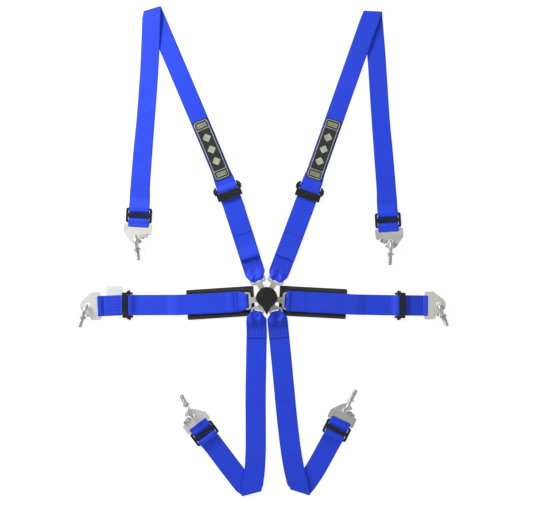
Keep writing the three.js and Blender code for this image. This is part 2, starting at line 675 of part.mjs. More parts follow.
function buildShoulder(name, spec) {
  const start = headPoint(name);
  const tip = new THREE.Vector2().addVectors(spec.foldLeft, spec.foldRight).multiplyScalar(0.5);
  const front = planLine([
    start, step(start, TONGUES[name].head, 14), step(spec.adjuster, spec.adjusterAngle, -45), spec.adjuster,
    step(spec.adjuster, spec.adjusterAngle, 45), tip,
  ]);
  const back = planLine([tip, ...spec.back, spec.slide, spec.slot]);
  const mid = along(front, spec.adjuster);
  const slotWidth = TONGUES[name].width - 9.5;

  // Lower webbing: sewn round the tongue's bar and round the adjuster's fixed bar.
  const fixedX = -5;
  const sewn = 48;
  const lowerRows = spread([
    [sewn, FLOOR + LAYER], [40, FLOOR + LAYER], [31, 2.8], [20, 5.9], [12, 9.4], [7, 11.9], ...tongueLoop,
    [8, 7.3], [19, 3.6], [30, 1], [38, FLOOR], [mid + fixedX - 9, FLOOR],
    ...roundBar(mid + fixedX, FIXED_BAR_Z, FIXED_WRAP, -90, 90, 0), [mid + fixedX - 5, 4.4],
    [mid + fixedX - 9.5, FLOOR + LAYER], [mid - sewn, FLOOR + LAYER],
  ], slotWidth);
  add(`${name}_lower_webbing`, ribbon(crossLines(front, 1, lowerRows)), webbingBlue);

  // Long webbing: the pull tail, over the knurled bar, up to the fold and back to the hook.
  const tailEnd = mid - 108.5;
  const loopAt = mid - 167;
  const loopR = 3.8;
  const top = FLOOR + 2 * LAYER;
  const wide = (rows) => rows.map(([distance, height]) => [distance, height, WIDE]);
  const tailRows = wide([
    [tailEnd, FLOOR + LAYER], [mid - 155, FLOOR + LAYER],
    ...roundBar(loopAt, FLOOR + LAYER + loopR, loopR, -90, -270, 0, 6),
    [mid - 152, 7.2], [mid - 138, 4.5], [mid - 125, top], [mid - 24, top], [mid - 15.5, 6.3], [mid - 9, 8.2],
    [mid - 2, 8.25], [mid + 3.2, 8.35], ...roundBar(mid + BAR_X, BAR_Z, BAR_WRAP, 108, 35, 0),
    [mid + 15.8, 3.6], [mid + 20, 1.2], [mid + 28, FLOOR],
  ]);
  const rise = spec.frontOnTop ? HIGH : FLOOR;
  const free = (distance, height) => [distance, height, NARROW];
  const frontRows = [
    free(mid + 60, FLOOR), free(mid + 130, FLOOR), free(mid + 200, FLOOR), free(front.length - 210, FLOOR),
    free(front.length - 130, (FLOOR + rise) / 2),
    free(front.length - 70, rise),
    free(front.length - 24, rise),
  ];
  const ending = front.at(front.length).tangent;
  const folded = fold(spec.foldLeft, spec.foldRight, ending, rise, spec.frontOnTop ? -1 : 1);
  const drop = spec.frontOnTop ? FLOOR : HIGH;
  const slotEdge = back.length;
  const backRows = [
    free(24, drop), free(70, (drop * 2 + FLOOR) / 3), free(125, spec.frontOnTop ? FLOOR : FLOOR + LAYER),
    free(170, FLOOR), free(260, FLOOR), [360, FLOOR, NARROW + 2], [slotEdge - 105, FLOOR, WIDE - 2],
    ...slideAndHook(slotEdge, 16),
  ];
  const frontLines = crossLines(front, 1, [...tailRows, ...frontRows]);
  const lines = [...frontLines, ...folded, ...crossLines(back, -1, backRows)];
  add(`${name}_long_webbing`, ribbon(lines), webbingBlue);

  const labelT = 0.8;
  const labelRows = [35, 87, 139, 190].map((x) => [mid + x, WEB + GAP + labelT / 2, 40]);
  add(`${name}_label`, ribbon(crossLines(front, 1, labelRows), labelT), labelBlack);

  const { point: at, angle } = front.at(mid);
  buildAdjuster(name, { x: at.x, y: at.y, angle }, adjusterFrame(-17, 2.5, fixedX, 21, -BAR_TRAVEL));
  buildSlide(name, back, slotEdge);
  const mirror = name.startsWith('right');
  buildHookEnd(name, back, slotEdge, { mirror, tilt: 16, gateUnder: false, boltSwing: spec.boltSwing });
}

const LAPS = {
  left_lap: {
    route: [point(-100, -12.5), point(-187.9, -17.3), point(-270, -18.6)], adjuster: point(-345.6, -18.8),
    slot: point(-417, -21.5), tailEnd: 26, padMiddle: 66.5, boltSwing: 66,
  },
  right_lap: {
    route: [point(110, -11.8), point(204.1, -16.7), point(287.4, -18.8)], adjuster: point(331.9, -19.4),
    slot: point(397.6, -20), tailEnd: 1.5, padMiddle: 66.5, boltSwing: 66,
  },
};

function buildLap(name, spec) {
  const start = headPoint(name);
  const leaving = step(start, TONGUES[name].head, 14);
  const line = planLine([start, leaving, ...spec.route, spec.adjuster, spec.slot]);
  const mid = along(line, spec.adjuster);
  const bar = mid - BAR_X;
  const slotWidth = TONGUES[name].width - 9.5;
  const onPad = PAD_T + GAP + WEB / 2;
  const padEnd = spec.padMiddle + PAD_LENGTH / 2 + 22;
  const upper = onPad + LAYER;
  const third = upper + LAYER;

  // Lap webbing: sewn round the tongue's bar, out to the knurled bar, and back as the pull tail.
  const tailTip = spec.tailEnd < 12
    ? [[22, third + 0.6], [12, 12.4], [7, 13.9], [spec.tailEnd, 14]]
    : [[spec.tailEnd, third]];
  const rows = spread([
    [45, upper], [30, upper], [22, upper + 0.1], [12, 10.4], [7, 11.95], ...tongueLoop, [9, onPad + 0.1],
    [24, onPad], [80, onPad], [padEnd, onPad], [padEnd + 12, 4.6], [padEnd + 28, FLOOR], [bar - 12, FLOOR],
    ...roundBar(bar, BAR_Z, BAR_WRAP, -90, 90, 0, 7),
    [bar - 4.5, 8.9], [bar - 12, 4.6], [bar - 19, FLOOR + LAYER],
    [padEnd + 29, FLOOR + LAYER], [padEnd + 13, 6.3], [padEnd, upper],
    [80, upper], [54, upper], [44, third - 0.2],
    [34, third], ...tailTip,
  ], slotWidth);
  // The free tail stays full width over the pinched webbing below it.
  const firstTail = rows.length - tailTip.length;
  const shaped = rows.map((row, i) => (i >= firstTail ? [row[0], row[1], WIDE] : row));
  add(`${name}_webbing`, ribbon(crossLines(line, 1, shaped)), webbingBlue);

  const pad = new THREE.ExtrudeGeometry(
    roundedShape(-PAD_LENGTH / 2 + 1, PAD_LENGTH / 2 - 1, -PAD_WIDTH / 2 + 1, PAD_WIDTH / 2 - 1, 4),
    { depth: PAD_T - 2, bevelThickness: 1, bevelSize: 1, bevelSegments: 2, curveSegments: 3 },
  );
  pad.translate(0, 0, 1);
  const padAt = line.at(spec.padMiddle);
  const padSlide = { point: padAt.point, axis: padAt.tangent };
  add(`${name}_pad`, placed(pad, padAt.angle, padAt.point.x, padAt.point.y), padBlack, padSlide);

  // End webbing: a sewn loop between the adjuster's fixed bar and the hook plate's bar.
  const slotEdge = line.length;
  const tilt = 20;
  const barZ = HOOK_BAR_Z + 3 * Math.sin(radians(tilt));
  const tagGap = 0.7;
  const onBottom = FLOOR + LAYER + tagGap;
  const fixedX = 2;
  const seam = slotEdge - 16.5;
  const endRows = [
    [seam + 0.6, onBottom], [slotEdge - 13.6, 4.3], [slotEdge - 11, 5.8],
    ...roundBar(slotEdge - 5.2, barZ, HOOK_LOOP, 75, -75, 0, 5), [slotEdge - 10.2, FLOOR],
    [mid + fixedX + 8, FLOOR], ...roundBar(mid + fixedX, FIXED_BAR_Z, FIXED_WRAP, -90, -270, 0, 6),
    [mid + fixedX + 6.5, 4.5], [mid + fixedX + 11, onBottom], [seam - 0.6, onBottom],
  ].map(([distance, height]) => [distance, height, WIDE]);
  add(`${name}_end_webbing`, ribbon(crossLines(line, 1, endRows)), webbingBlue);

  const { point: at, angle } = line.at(mid);
  const frame = adjusterFrame(-9, 5, -fixedX, 18, BAR_TRAVEL);
  buildAdjuster(name, { x: at.x, y: at.y, angle: angle + 180 }, frame);
  const mirror = name.startsWith('right');
  buildHookEnd(name, line, slotEdge, { mirror, tilt, gateUnder: true, boltSwing: spec.boltSwing });
  if (!mirror) {
    const tag = plate(roundedShape(-21, 21, -18, 18, 1), WEB + GAP, WEB + GAP + 0.4, 1);
    add('care_tag', placed(tag, 1, -374, 11), tagWhite);
  }
}

const CROTCHES = {
  left_crotch: {
    route: [point(-24.4, -99.5), point(-27.2, -214.6), point(-28, -400)],
    foldLeft: point(-12, -475), foldRight: point(-60.8, -487.8),
    back: [point(-61.7, -451.8)], slot: point(-171.4, -308), boltSwing: -8.5,
  },
  right_crotch: {
    route: [point(30.1, -91.9), point(40.8, -202.4), point(53.9, -333.7), point(65, -410)],
    foldLeft: point(105.4, -485.6), foldRight: point(56.6, -470.4),
    back: [point(114.4, -429.7), point(144.3, -377.3), point(170.9, -326)],
    slot: point(184.2, -297), boltSwing: 4.9,
  },
};

function buildCrotch(name, spec) {
  const start = headPoint(name);
  const tip = new THREE.Vector2().addVectors(spec.foldLeft, spec.foldRight).multiplyScalar(0.5);
  const main = planLine([start, step(start, TONGUES[name].head, 12), ...spec.route, tip]);
  const back = planLine([tip, ...spec.back, spec.slot]);
  const sewn = 67;
  const onPad = PAD_T + GAP + WEB / 2;
  const mainRows = spread([
    [sewn, FLOOR + LAYER], [48, FLOOR + LAYER], [40, 3.4], [27, 7.6], [18, onPad + LAYER + 0.2], [12, 10.3],
    [7, 11.95], ...tongueLoop, [9, onPad + 0.1], [20, onPad - 0.2], [30, 4.6], [40, 1.4], [48, FLOOR],
    [130, FLOOR], [220, FLOOR], [main.length - 190, FLOOR], [main.length - 120, (FLOOR + HIGH) / 2],
    [main.length - 70, HIGH], [main.length - 26, HIGH],
  ], TONGUES[name].width - 9.5);
  const folded = fold(spec.foldLeft, spec.foldRight, main.at(main.length).tangent, HIGH, -1);
  const slotEdge = back.length;
  const backRows = [[28, FLOOR, WIDE], [70, FLOOR, WIDE], ...slideAndHook(slotEdge, 16)];
  const lines = [...crossLines(main, 1, mainRows), ...folded, ...crossLines(back, -1, backRows)];
  add(`${name}_webbing`, ribbon(lines), webbingBlue);
  buildSlide(name, back, slotEdge);
  const mirror = name.startsWith('right');
  buildHookEnd(name, back, slotEdge, { mirror, tilt: 16, gateUnder: false, boltSwing: spec.boltSwing });
}

buildBuckle();
Object.entries(TONGUES).forEach(([name, spec]) => {
  const out = heading(spec.neck);
  const axis = new THREE.Vector3(out.x, out.y, 0);
  add(`${name}_tongue`, tongue(spec), zincSatin, { point: axis.clone().multiplyScalar(spec.reach), axis });
});
Object.entries(SHOULDERS).forEach(([name, spec]) => buildShoulder(name, spec));
Object.entries(LAPS).forEach(([name, spec]) => buildLap(name, spec));
Object.entries(CROTCHES).forEach(([name, spec]) => buildCrotch(name, spec));

export default root;
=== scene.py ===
"""Six-point racing harness laid out flat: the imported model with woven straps, pads and worked steel."""

import json
import math

import bmesh
import bpy
import numpy as np
from mathutils import Matrix, Vector


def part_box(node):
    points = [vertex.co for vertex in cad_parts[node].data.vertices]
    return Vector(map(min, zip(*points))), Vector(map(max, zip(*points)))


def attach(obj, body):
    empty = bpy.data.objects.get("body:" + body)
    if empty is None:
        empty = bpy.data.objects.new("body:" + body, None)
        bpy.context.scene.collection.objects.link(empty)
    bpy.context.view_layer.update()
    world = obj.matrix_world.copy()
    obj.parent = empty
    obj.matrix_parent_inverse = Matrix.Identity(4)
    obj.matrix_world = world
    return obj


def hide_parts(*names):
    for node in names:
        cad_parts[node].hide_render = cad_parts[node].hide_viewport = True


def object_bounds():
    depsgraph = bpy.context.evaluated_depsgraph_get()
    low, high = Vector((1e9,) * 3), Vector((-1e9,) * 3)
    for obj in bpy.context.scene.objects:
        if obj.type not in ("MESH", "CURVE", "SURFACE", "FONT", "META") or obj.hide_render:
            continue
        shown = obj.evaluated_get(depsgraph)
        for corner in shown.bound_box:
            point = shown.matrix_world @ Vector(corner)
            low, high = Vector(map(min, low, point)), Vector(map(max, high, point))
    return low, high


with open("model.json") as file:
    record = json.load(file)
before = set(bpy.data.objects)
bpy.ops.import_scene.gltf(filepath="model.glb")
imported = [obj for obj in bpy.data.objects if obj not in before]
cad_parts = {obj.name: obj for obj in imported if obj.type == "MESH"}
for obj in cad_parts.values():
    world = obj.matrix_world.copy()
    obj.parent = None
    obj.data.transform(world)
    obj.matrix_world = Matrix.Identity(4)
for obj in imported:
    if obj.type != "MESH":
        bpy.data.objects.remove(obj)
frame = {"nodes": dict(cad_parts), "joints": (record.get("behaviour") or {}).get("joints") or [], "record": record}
cad_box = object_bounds()

MM = 0.001
STRAPS = [f"{side}_{kind}" for side in ("left", "right") for kind in ("shoulder", "lap", "crotch")]
BODY = {node: body for body, nodes in frame["record"]["behaviour"]["bodies"].items() for node in nodes}
JOINTS = {joint["name"]: joint for joint in frame["joints"]}
MOUNTS = {mount["name"]: mount for mount in frame["record"]["mounts"]}


# ---- camera, light and floor --------------------------------------------------------------------
VIEW_WIDTH = 1.306  # metres across the picture, at the height of the webbing
VIEW_SHIFT = Vector((8.5, -9.6, 0)) * MM  # the view's middle, measured from the middle of the CAD box
WEBBING_HEIGHT = 6 * MM
FLOOR_SIZE = 8
FLOOR_DROP = 0.4 * MM


def set_stage():
    low, high = (Vector(corner) for corner in cad_box)
    aim = (low + high) / 2 + VIEW_SHIFT
    camera = bpy.data.cameras.new("camera")
    camera.lens = 90
    camera.sensor_width = 36
    camera.clip_end = 20
    holder = bpy.data.objects.new("camera", camera)
    holder.location = (aim.x, aim.y, WEBBING_HEIGHT + VIEW_WIDTH * camera.lens / camera.sensor_width)
    bpy.context.scene.collection.objects.link(holder)
    bpy.context.scene.camera = holder

    def softbox(name, place, size, power):
        light = bpy.data.lights.new(name, "AREA")
        light.size = size
        light.energy = power
        lamp = bpy.data.objects.new(name, light)
        lamp.location = place
        direction = Vector((0, 0.1, 0)) - Vector(place)
        lamp.rotation_euler = direction.to_track_quat("-Z", "Y").to_euler()
        bpy.context.scene.collection.objects.link(lamp)

    softbox("key", (-1.45, 1.15, 1.0), 0.8, 45)
    softbox("fill", (1.9, -0.8, 2.2), 2.0, 8)
    world = bpy.data.worlds.new("studio")
    world.use_nodes = True
    background = world.node_tree.nodes["Background"]
    background.inputs["Color"].default_value = (1, 1, 1, 1)
    background.inputs["Strength"].default_value = 0.42
    bpy.context.scene.world = world
    bpy.context.scene.view_settings.view_transform = "Standard"

    bpy.ops.mesh.primitive_plane_add(size=FLOOR_SIZE, location=(0, 0.1, -FLOOR_DROP))
    floor = bpy.context.object
    floor.name = "floor"
    floor.data.materials.append(floor_surface())


# ---- material nodes -----------------------------------------------------------------------------
class Surface:
    """A material's node tree, with short calls for the nodes that the finishes here are made of."""

    def __init__(self, name, roughness=0.5, metallic=0.0, **sockets):
        self.material = bpy.data.materials.new(name)
        self.material.use_nodes = True
        self.tree = self.material.node_tree
        self.shader = self.tree.nodes["Principled BSDF"]
        self.shader.inputs["Roughness"].default_value = roughness
        self.shader.inputs["Metallic"].default_value = metallic
        for socket, value in sockets.items():
            self.shader.inputs[socket.replace("_", " ")].default_value = value

    def node(self, kind, **settings):
        made = self.tree.nodes.new(kind)
        for key, value in settings.items():
            setattr(made, key, value)
        return made

    def link(self, source, target):
        self.tree.links.new(source, target)

    def put(self, value, socket):
        if isinstance(value, bpy.types.NodeSocket):
            self.link(value, socket)
        else:
            socket.default_value = value

    def math(self, operation, a, b=0.0, c=0.0):
        made = self.node("ShaderNodeMath", operation=operation)
        for value, socket in zip((a, b, c), made.inputs):
            self.put(value, socket)
        return made.outputs[0]

    def step(self, value, low, high):
        made = self.node("ShaderNodeMapRange", interpolation_type="SMOOTHSTEP")
        self.put(value, made.inputs["Value"])
        made.inputs["From Min"].default_value = low
        made.inputs["From Max"].default_value = high
        return made.outputs["Result"]

    def blend(self, share, first, second):
        made = self.node("ShaderNodeMix", data_type="RGBA")
        self.put(share, made.inputs[0])
        for value, socket in ((first, made.inputs[6]), (second, made.inputs[7])):
            self.put(value if isinstance(value, bpy.types.NodeSocket) else (*value, 1), socket)
        return made.outputs[2]

    def place(self):
        """Position on the piece, in metres."""
        return self.node("ShaderNodeTexCoord").outputs["Object"]

    def strap(self):
        """Distance across and along the strap, in metres."""
        split = self.node("ShaderNodeSeparateXYZ")
        self.link(self.node("ShaderNodeUVMap", uv_map="strap").outputs[0], split.inputs[0])
        return split.outputs[0], split.outputs[1]

    def noise(self, scale, detail):
        made = self.node("ShaderNodeTexNoise")
        made.inputs["Scale"].default_value = scale
        made.inputs["Detail"].default_value = detail
        self.link(self.place(), made.inputs["Vector"])
        return made.outputs["Fac"]

    def ripple(self, value, pitch, phase=0.0):
        """A wave from 0 to 1 that repeats every pitch metres."""
        turn = self.math("MULTIPLY_ADD", value, 2 * math.pi / pitch, phase)
        return self.math("MULTIPLY_ADD", self.math("SINE", turn), 0.5, 0.5)

    def color(self, value):
        self.link(value, self.shader.inputs["Base Color"])

    def rough(self, value, low, high):
        made = self.node("ShaderNodeMapRange")
        self.put(value, made.inputs["Value"])
        made.inputs["To Min"].default_value = low
        made.inputs["To Max"].default_value = high
        self.link(made.outputs["Result"], self.shader.inputs["Roughness"])

    def bump(self, height, distance, strength=1.0):
        made = self.node("ShaderNodeBump")
        made.inputs["Distance"].default_value = distance
        made.inputs["Strength"].default_value = strength
        self.link(height, made.inputs["Height"])
        self.link(made.outputs["Normal"], self.shader.inputs["Normal"])


def floor_surface():
    """Backdrop board with a faint grain, lit a little from within so that shadows on it stay pale."""
    s = Surface("floor_white", roughness=0.9, Emission_Color=(1, 1, 1, 1), Emission_Strength=0.78)
    s.color(s.blend(s.noise(40, 2), (0.42, 0.42, 0.42), (0.41, 0.41, 0.41)))
    return s.material


def webbing_surface(name, color, dark, pitch=1.45 * MM, twill=2.6 * MM, edge=21 * MM):
    """Strap webbing: warp ribs that run along the strap, crossed by a chevron twill, with a firm selvedge."""
    s = Surface(name, roughness=0.62, Sheen_Weight=0.12, Sheen_Roughness=0.4, Specular_IOR_Level=0.32)
    across, along = s.strap()
    distance = s.math("ABSOLUTE", across)
    rib = s.ripple(across, pitch)
    fold = s.math("PINGPONG", s.math("ADD", across, 0.5), pitch * 4)
    weft = s.ripple(s.math("MULTIPLY_ADD", fold, 1.6, along), twill)
    weave = s.math("MULTIPLY_ADD", weft, 0.45, s.math("MULTIPLY", rib, 0.55))
    selvedge = s.step(distance, edge, edge + 1.2 * MM)
    soft = s.noise(9, 4)
    worn = s.blend(s.step(soft, 0.32, 0.72), color, tuple(c * 0.86 + 0.006 for c in color))
    cloth = s.blend(s.math("MULTIPLY", weave, 0.5), worn, dark)
    s.color(s.blend(s.math("MULTIPLY", selvedge, 0.28), cloth, dark))
    s.rough(s.noise(120, 3), 0.52, 0.72)
    s.bump(weave, 0.35 * MM, 0.55)
    return s.material


def thread_surface(name, color):
    """Twisted polyester sewing thread."""
    s = Surface(name, roughness=0.45, Sheen_Weight=0.2)
    twist = s.ripple(s.strap()[1], 0.9 * MM)
    s.color(s.blend(twist, color, tuple(c * 0.6 for c in color)))
    s.bump(twist, 0.1 * MM)
    return s.material


def cloth_surface(name, color, pitch=1.1 * MM, roughness=(0.75, 0.95)):
    """Plain woven cloth, worked from the position so that it needs no unwrapping."""
    s = Surface(name, roughness=0.85, Sheen_Weight=0.15, Sheen_Roughness=0.5, Specular_IOR_Level=0.25)
    split = s.node("ShaderNodeSeparateXYZ")
    s.link(s.place(), split.inputs[0])
    over, under = s.ripple(split.outputs[0], pitch), s.ripple(split.outputs[1], pitch, 1.2)
    weave = s.math("MULTIPLY", s.math("ADD", over, under), 0.5)
    lint = s.noise(60, 5)
    shade = s.blend(s.step(lint, 0.35, 0.75), color, tuple(c * 1.5 + 0.004 for c in color))
    s.color(s.blend(s.math("MULTIPLY", weave, 0.45), shade, tuple(c * 0.45 for c in color)))
    s.rough(lint, *roughness)
    s.bump(weave, 0.3 * MM, 0.7)
    return s.material


def tape_surface(name, color, pitch=2.1 * MM):
    """Ribbed binding tape: cords that run across the tape. The colour is lighter on the cords' crests and darker
    between them: painted highlight and painted shade.
    """
    s = Surface(name, roughness=0.7, Sheen_Weight=0.2, Sheen_Roughness=0.4)
    rib = s.ripple(s.strap()[1], pitch)
    # Lighter crests and darker grooves: painted highlight and painted shade.
    s.color(s.blend(rib, tuple(c * 0.5 for c in color), tuple(c * 1.25 for c in color)))
    s.bump(rib, 0.5 * MM, 0.8)
    return s.material


def tag_surface():
    """Smooth white satin ribbon with faint ruled lines."""
    s = Surface("tag_satin", roughness=0.4, Sheen_Weight=0.1)
    across, along = s.strap()
    lines = s.step(s.ripple(across, 4.6 * MM), 0.88, 0.97)
    weave = s.ripple(along, 0.5 * MM)
    satin = s.blend(s.math("MULTIPLY", weave, 0.12), (0.83, 0.86, 0.88), (0.6, 0.63, 0.66))
    s.color(s.blend(s.math("MULTIPLY", lines, 0.3), satin, (0.45, 0.48, 0.5)))
    s.rough(s.noise(80, 3), 0.34, 0.55)
    s.bump(weave, 0.1 * MM)
    return s.material


def metal_surface(name, color, roughness, metallic, grain=0.1, wear_and_glint=None, flaw=(0.0, 0.0, 0.0)):
    """Plated or coated steel: fine grain, handling marks in the gloss, and a few small scuffs. Pale scuffs, where
    given, are partly worn coating and partly a painted reflection.
    """
    s = Surface(name, roughness=sum(roughness) / 2, metallic=metallic)
    mottle = s.noise(35, 5)
    fine = s.noise(700, 2)
    base = s.blend(s.step(mottle, 0.4, 0.75), color, tuple(c * (1 - grain) + f for c, f in zip(color, flaw)))
    if wear_and_glint:
        # Pale scuffs: partly worn coating, partly painted reflection.
        scuffs_and_glints = s.math("MULTIPLY", s.step(s.noise(160, 5), 0.6, 0.7), s.step(s.noise(25, 2), 0.45, 0.6))
        base = s.blend(s.math("MULTIPLY", scuffs_and_glints, 0.2), base, wear_and_glint)
    s.color(base)
    s.rough(s.math("MULTIPLY_ADD", mottle, 0.7, s.math("MULTIPLY", fine, 0.3)), *roughness)
    s.bump(fine, 0.03 * MM, 0.5)
    return s.material


BLUE = webbing_surface("webbing_blue", (0.014, 0.066, 0.86), (0.004, 0.028, 0.54))
BLUE_THREAD = thread_surface("thread_blue", (0.006, 0.018, 0.34))
PAD_CLOTH = cloth_surface("pad_cloth", (0.018, 0.02, 0.018))
PAD_TAPE = tape_surface("pad_tape", (0.022, 0.024, 0.022))
PAD_THREAD = thread_surface("thread_black", (0.02, 0.02, 0.02))
LABEL_CLOTH = webbing_surface("label_cloth", (0.022, 0.026, 0.02), (0.01, 0.012, 0.01), 0.5 * MM, 1.2 * MM, 1)
LABEL_THREAD = cloth_surface("label_thread", (0.46, 0.52, 0.39), 0.7 * MM, (0.5, 0.7))
TAG_SATIN = tag_surface()
ZINC = metal_surface("zinc_satin", (0.62, 0.62, 0.56), (0.36, 0.54), 0.5, 0.2, flaw=(0.0, 0.008, -0.012))
# A paler, less metallic copy of the zinc: painted light on the two left hook plates, which are the same finish lit
# more brightly.
ZINC_PAINTED_LIGHT = metal_surface("zinc_painted_light", (0.86, 0.86, 0.83), (0.42, 0.58), 0.2, 0.05)
BRIGHT = metal_surface("bolt_bright", (0.56, 0.56, 0.55), (0.32, 0.46), 0.8, grain=0.2)
# The pale scuffs on the black steel are partly wear and partly a painted reflection.
COATED = metal_surface("steel_black", (0.016, 0.017, 0.018), (0.28, 0.44), 0.35, 0.3, wear_and_glint=(0.30, 0.30, 0.29))
KNOB_PLASTIC = metal_surface("knob_black", (0.011, 0.013, 0.01), (0.16, 0.26), 0.0, 0.25)
SPRING = metal_surface("spring_steel", (0.42, 0.43, 0.45), (0.22, 0.34), 1.0)
FINISH = {
    "zinc_satin": ZINC, "bolt_bright": BRIGHT, "steel_black": COATED, "knob_black": KNOB_PLASTIC,
    "spring_steel": SPRING, "webbing_blue": BLUE, "pad_black": PAD_CLOTH, "label_black": LABEL_CLOTH,
    "tag_white": TAG_SATIN,
}
SLOT = {part["node"]: part["material_slot"] for part in frame["record"]["subparts"]}
HARD_FINISHES = ("zinc_satin", "bolt_bright", "steel_black", "knob_black", "spring_steel")
# The left lap and left crotch hook plates take the paler zinc copy: painted light.
PLATES_WITH_PAINTED_LIGHT = ("left_lap_hook_plate", "left_crotch_hook_plate")


# ---- meshes -------------------------------------------------------------------------------------
def piece(name, mesh, material, body, stands_for=()):
    """A mesh as a piece that rides on a body."""
    made = bpy.data.objects.new(name, mesh)
    mesh.materials.clear()
    mesh.materials.append(material)
    bpy.context.scene.collection.objects.link(made)
    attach(made, body)
    if stands_for:
        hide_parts(*stands_for)
    return made


def smooth_mesh(mesh, angle):
    """Smooth shading, with the edges sharper than the angle, in degrees, kept crisp."""
    for polygon in mesh.polygons:
        polygon.use_smooth = True
    mesh.set_sharp_from_angle(angle=math.radians(angle))
    return mesh


def mesh_of(vertices, faces, uv, angle=35):
    """A mesh of points and faces, with one UV pair for each point where they are given."""
    mesh = bpy.data.meshes.new("mesh")
    mesh.from_pydata([tuple(v) for v in vertices], [], [tuple(f) for f in faces])
    if uv is not None:
        layer = mesh.uv_layers.new(name="strap")
        corner = np.zeros(len(mesh.loops), int)
        mesh.loops.foreach_get("vertex_index", corner)
        layer.data.foreach_set("uv", np.asarray(uv, np.float32)[corner].ravel())
    mesh.update()
    return smooth_mesh(mesh, angle)


def grid_faces(rows, columns, looped=False):
    """Quads of a grid of points whose last column joins the first; looped joins its last row to the first."""
    i, j = np.meshgrid(np.arange(rows if looped else rows - 1), np.arange(columns), indexing="ij")
    here, down, right = i * columns, (i + 1) % rows * columns, (j + 1) % columns
    return np.stack([here + j, here + right, down + right, down + j], -1).reshape(-1, 4).tolist()


def end_faces(rows, columns):
    """The two faces that close the first and the last row of a grid of points."""
    last = (rows - 1) * columns
    return [list(range(columns))[::-1], [last + k for k in range(columns)]]


def distance_along(points):
    """How far each point of a row lies from the first, measured along the row."""
    return np.concatenate([[0], np.cumsum(np.linalg.norm(np.diff(points, axis=0), axis=1))])


def tube(points, radius, sides=6):
    """Points and faces of a round thread or wire along a row of points, with closed ends."""
    points = np.asarray(points, float)
    tangent = np.gradient(points, axis=0)
    tangent /= np.linalg.norm(tangent, axis=1)[:, None]
    helper = np.where(np.abs(tangent[:, 2:3]) > 0.9, [[1.0, 0, 0]], [[0, 0, 1.0]])
    side = np.cross(tangent, helper)
    side /= np.linalg.norm(side, axis=1)[:, None]
    up = np.cross(side, tangent)
    turn = 2 * math.pi * np.arange(sides) / sides
    ring = np.cos(turn)[None, :, None] * side[:, None] + np.sin(turn)[None, :, None] * up[:, None]
    vertices = (points[:, None] + radius * ring).reshape(-1, 3)
    faces = grid_faces(len(points), sides) + end_faces(len(points), sides)
    along = np.repeat(distance_along(points), sides)
    return vertices, faces, np.stack([np.zeros_like(along), along], 1)


def joined(parts):
    """Several (points, faces, uv) as one."""
    vertices, faces, uv, start = [], [], [], 0
    for points, quads, coordinates in parts:
        vertices.append(points)
        uv.append(coordinates)
        faces += [[index + start for index in face] for face in quads]
        start += len(points)
    return np.concatenate(vertices), faces, np.concatenate(uv)


def worked(node, bevel):
    """The CAD node's own shape with rounded edges, as a new mesh."""
    bm = bmesh.new()
    bm.from_mesh(frame["nodes"][node].data)
    bmesh.ops.remove_doubles(bm, verts=bm.verts, dist=0.004 * MM)
    bmesh.ops.dissolve_limit(bm, angle_limit=math.radians(1.5), verts=bm.verts, edges=bm.edges)
    bm.normal_update()
    sharp_angle = math.radians(32)
    sharp = [e for e in bm.edges if len(e.link_faces) == 2 and e.calc_face_angle(0) > sharp_angle]
    bmesh.ops.bevel(bm, geom=sharp, offset=bevel, segments=2, profile=0.6, affect="EDGES", clamp_overlap=True)
    mesh = bpy.data.meshes.new("mesh")
    bmesh.ops.triangulate(bm, faces=[f for f in bm.faces if len(f.verts) > 4])
    bm.to_mesh(mesh)
    bm.free()
    return smooth_mesh(mesh, 28)


FRAME_BEVEL = 0.9 * MM
PLATE_BEVEL = 0.35 * MM


def work_node(node, bevel):
    """A hard CAD node with rounded edges, as the piece that stands for it."""
    # The left hook plates get the paler zinc copy, which is painted light.
    material = ZINC_PAINTED_LIGHT if node in PLATES_WITH_PAINTED_LIGHT else FINISH[SLOT[node]]
    made = piece(f"{node}_worked", worked(node, bevel), material, BODY[node], [node])
    flatten = made.modifiers.new("flat faces", "WEIGHTED_NORMAL")
    flatten.keep_sharp = True
    flatten.weight = 100


def spun(rows, sides):
    """Points and faces of a shape wound about Z. Each row is a radius and a height, or one value of either
    for each side; rows run up the outside and inwards over the top."""
    turn = 2 * math.pi * np.arange(sides) / sides
    radius = np.array([np.broadcast_to(row[0], sides) for row in rows])
    height = np.array([np.broadcast_to(row[1], sides) for row in rows])
    vertices = np.stack([radius * np.cos(turn), radius * np.sin(turn), height], -1).reshape(-1, 3)
    faces = grid_faces(len(rows), sides) + end_faces(len(rows), sides)
    return vertices, faces, np.zeros((len(vertices), 2))


def moved(part, matrix):
    """A part's (points, faces, uv) in the place that the matrix gives."""
    vertices, faces, uv = part
    turned = np.array(matrix.to_3x3())
    return vertices @ turned.T + np.array(matrix.translation), faces, uv


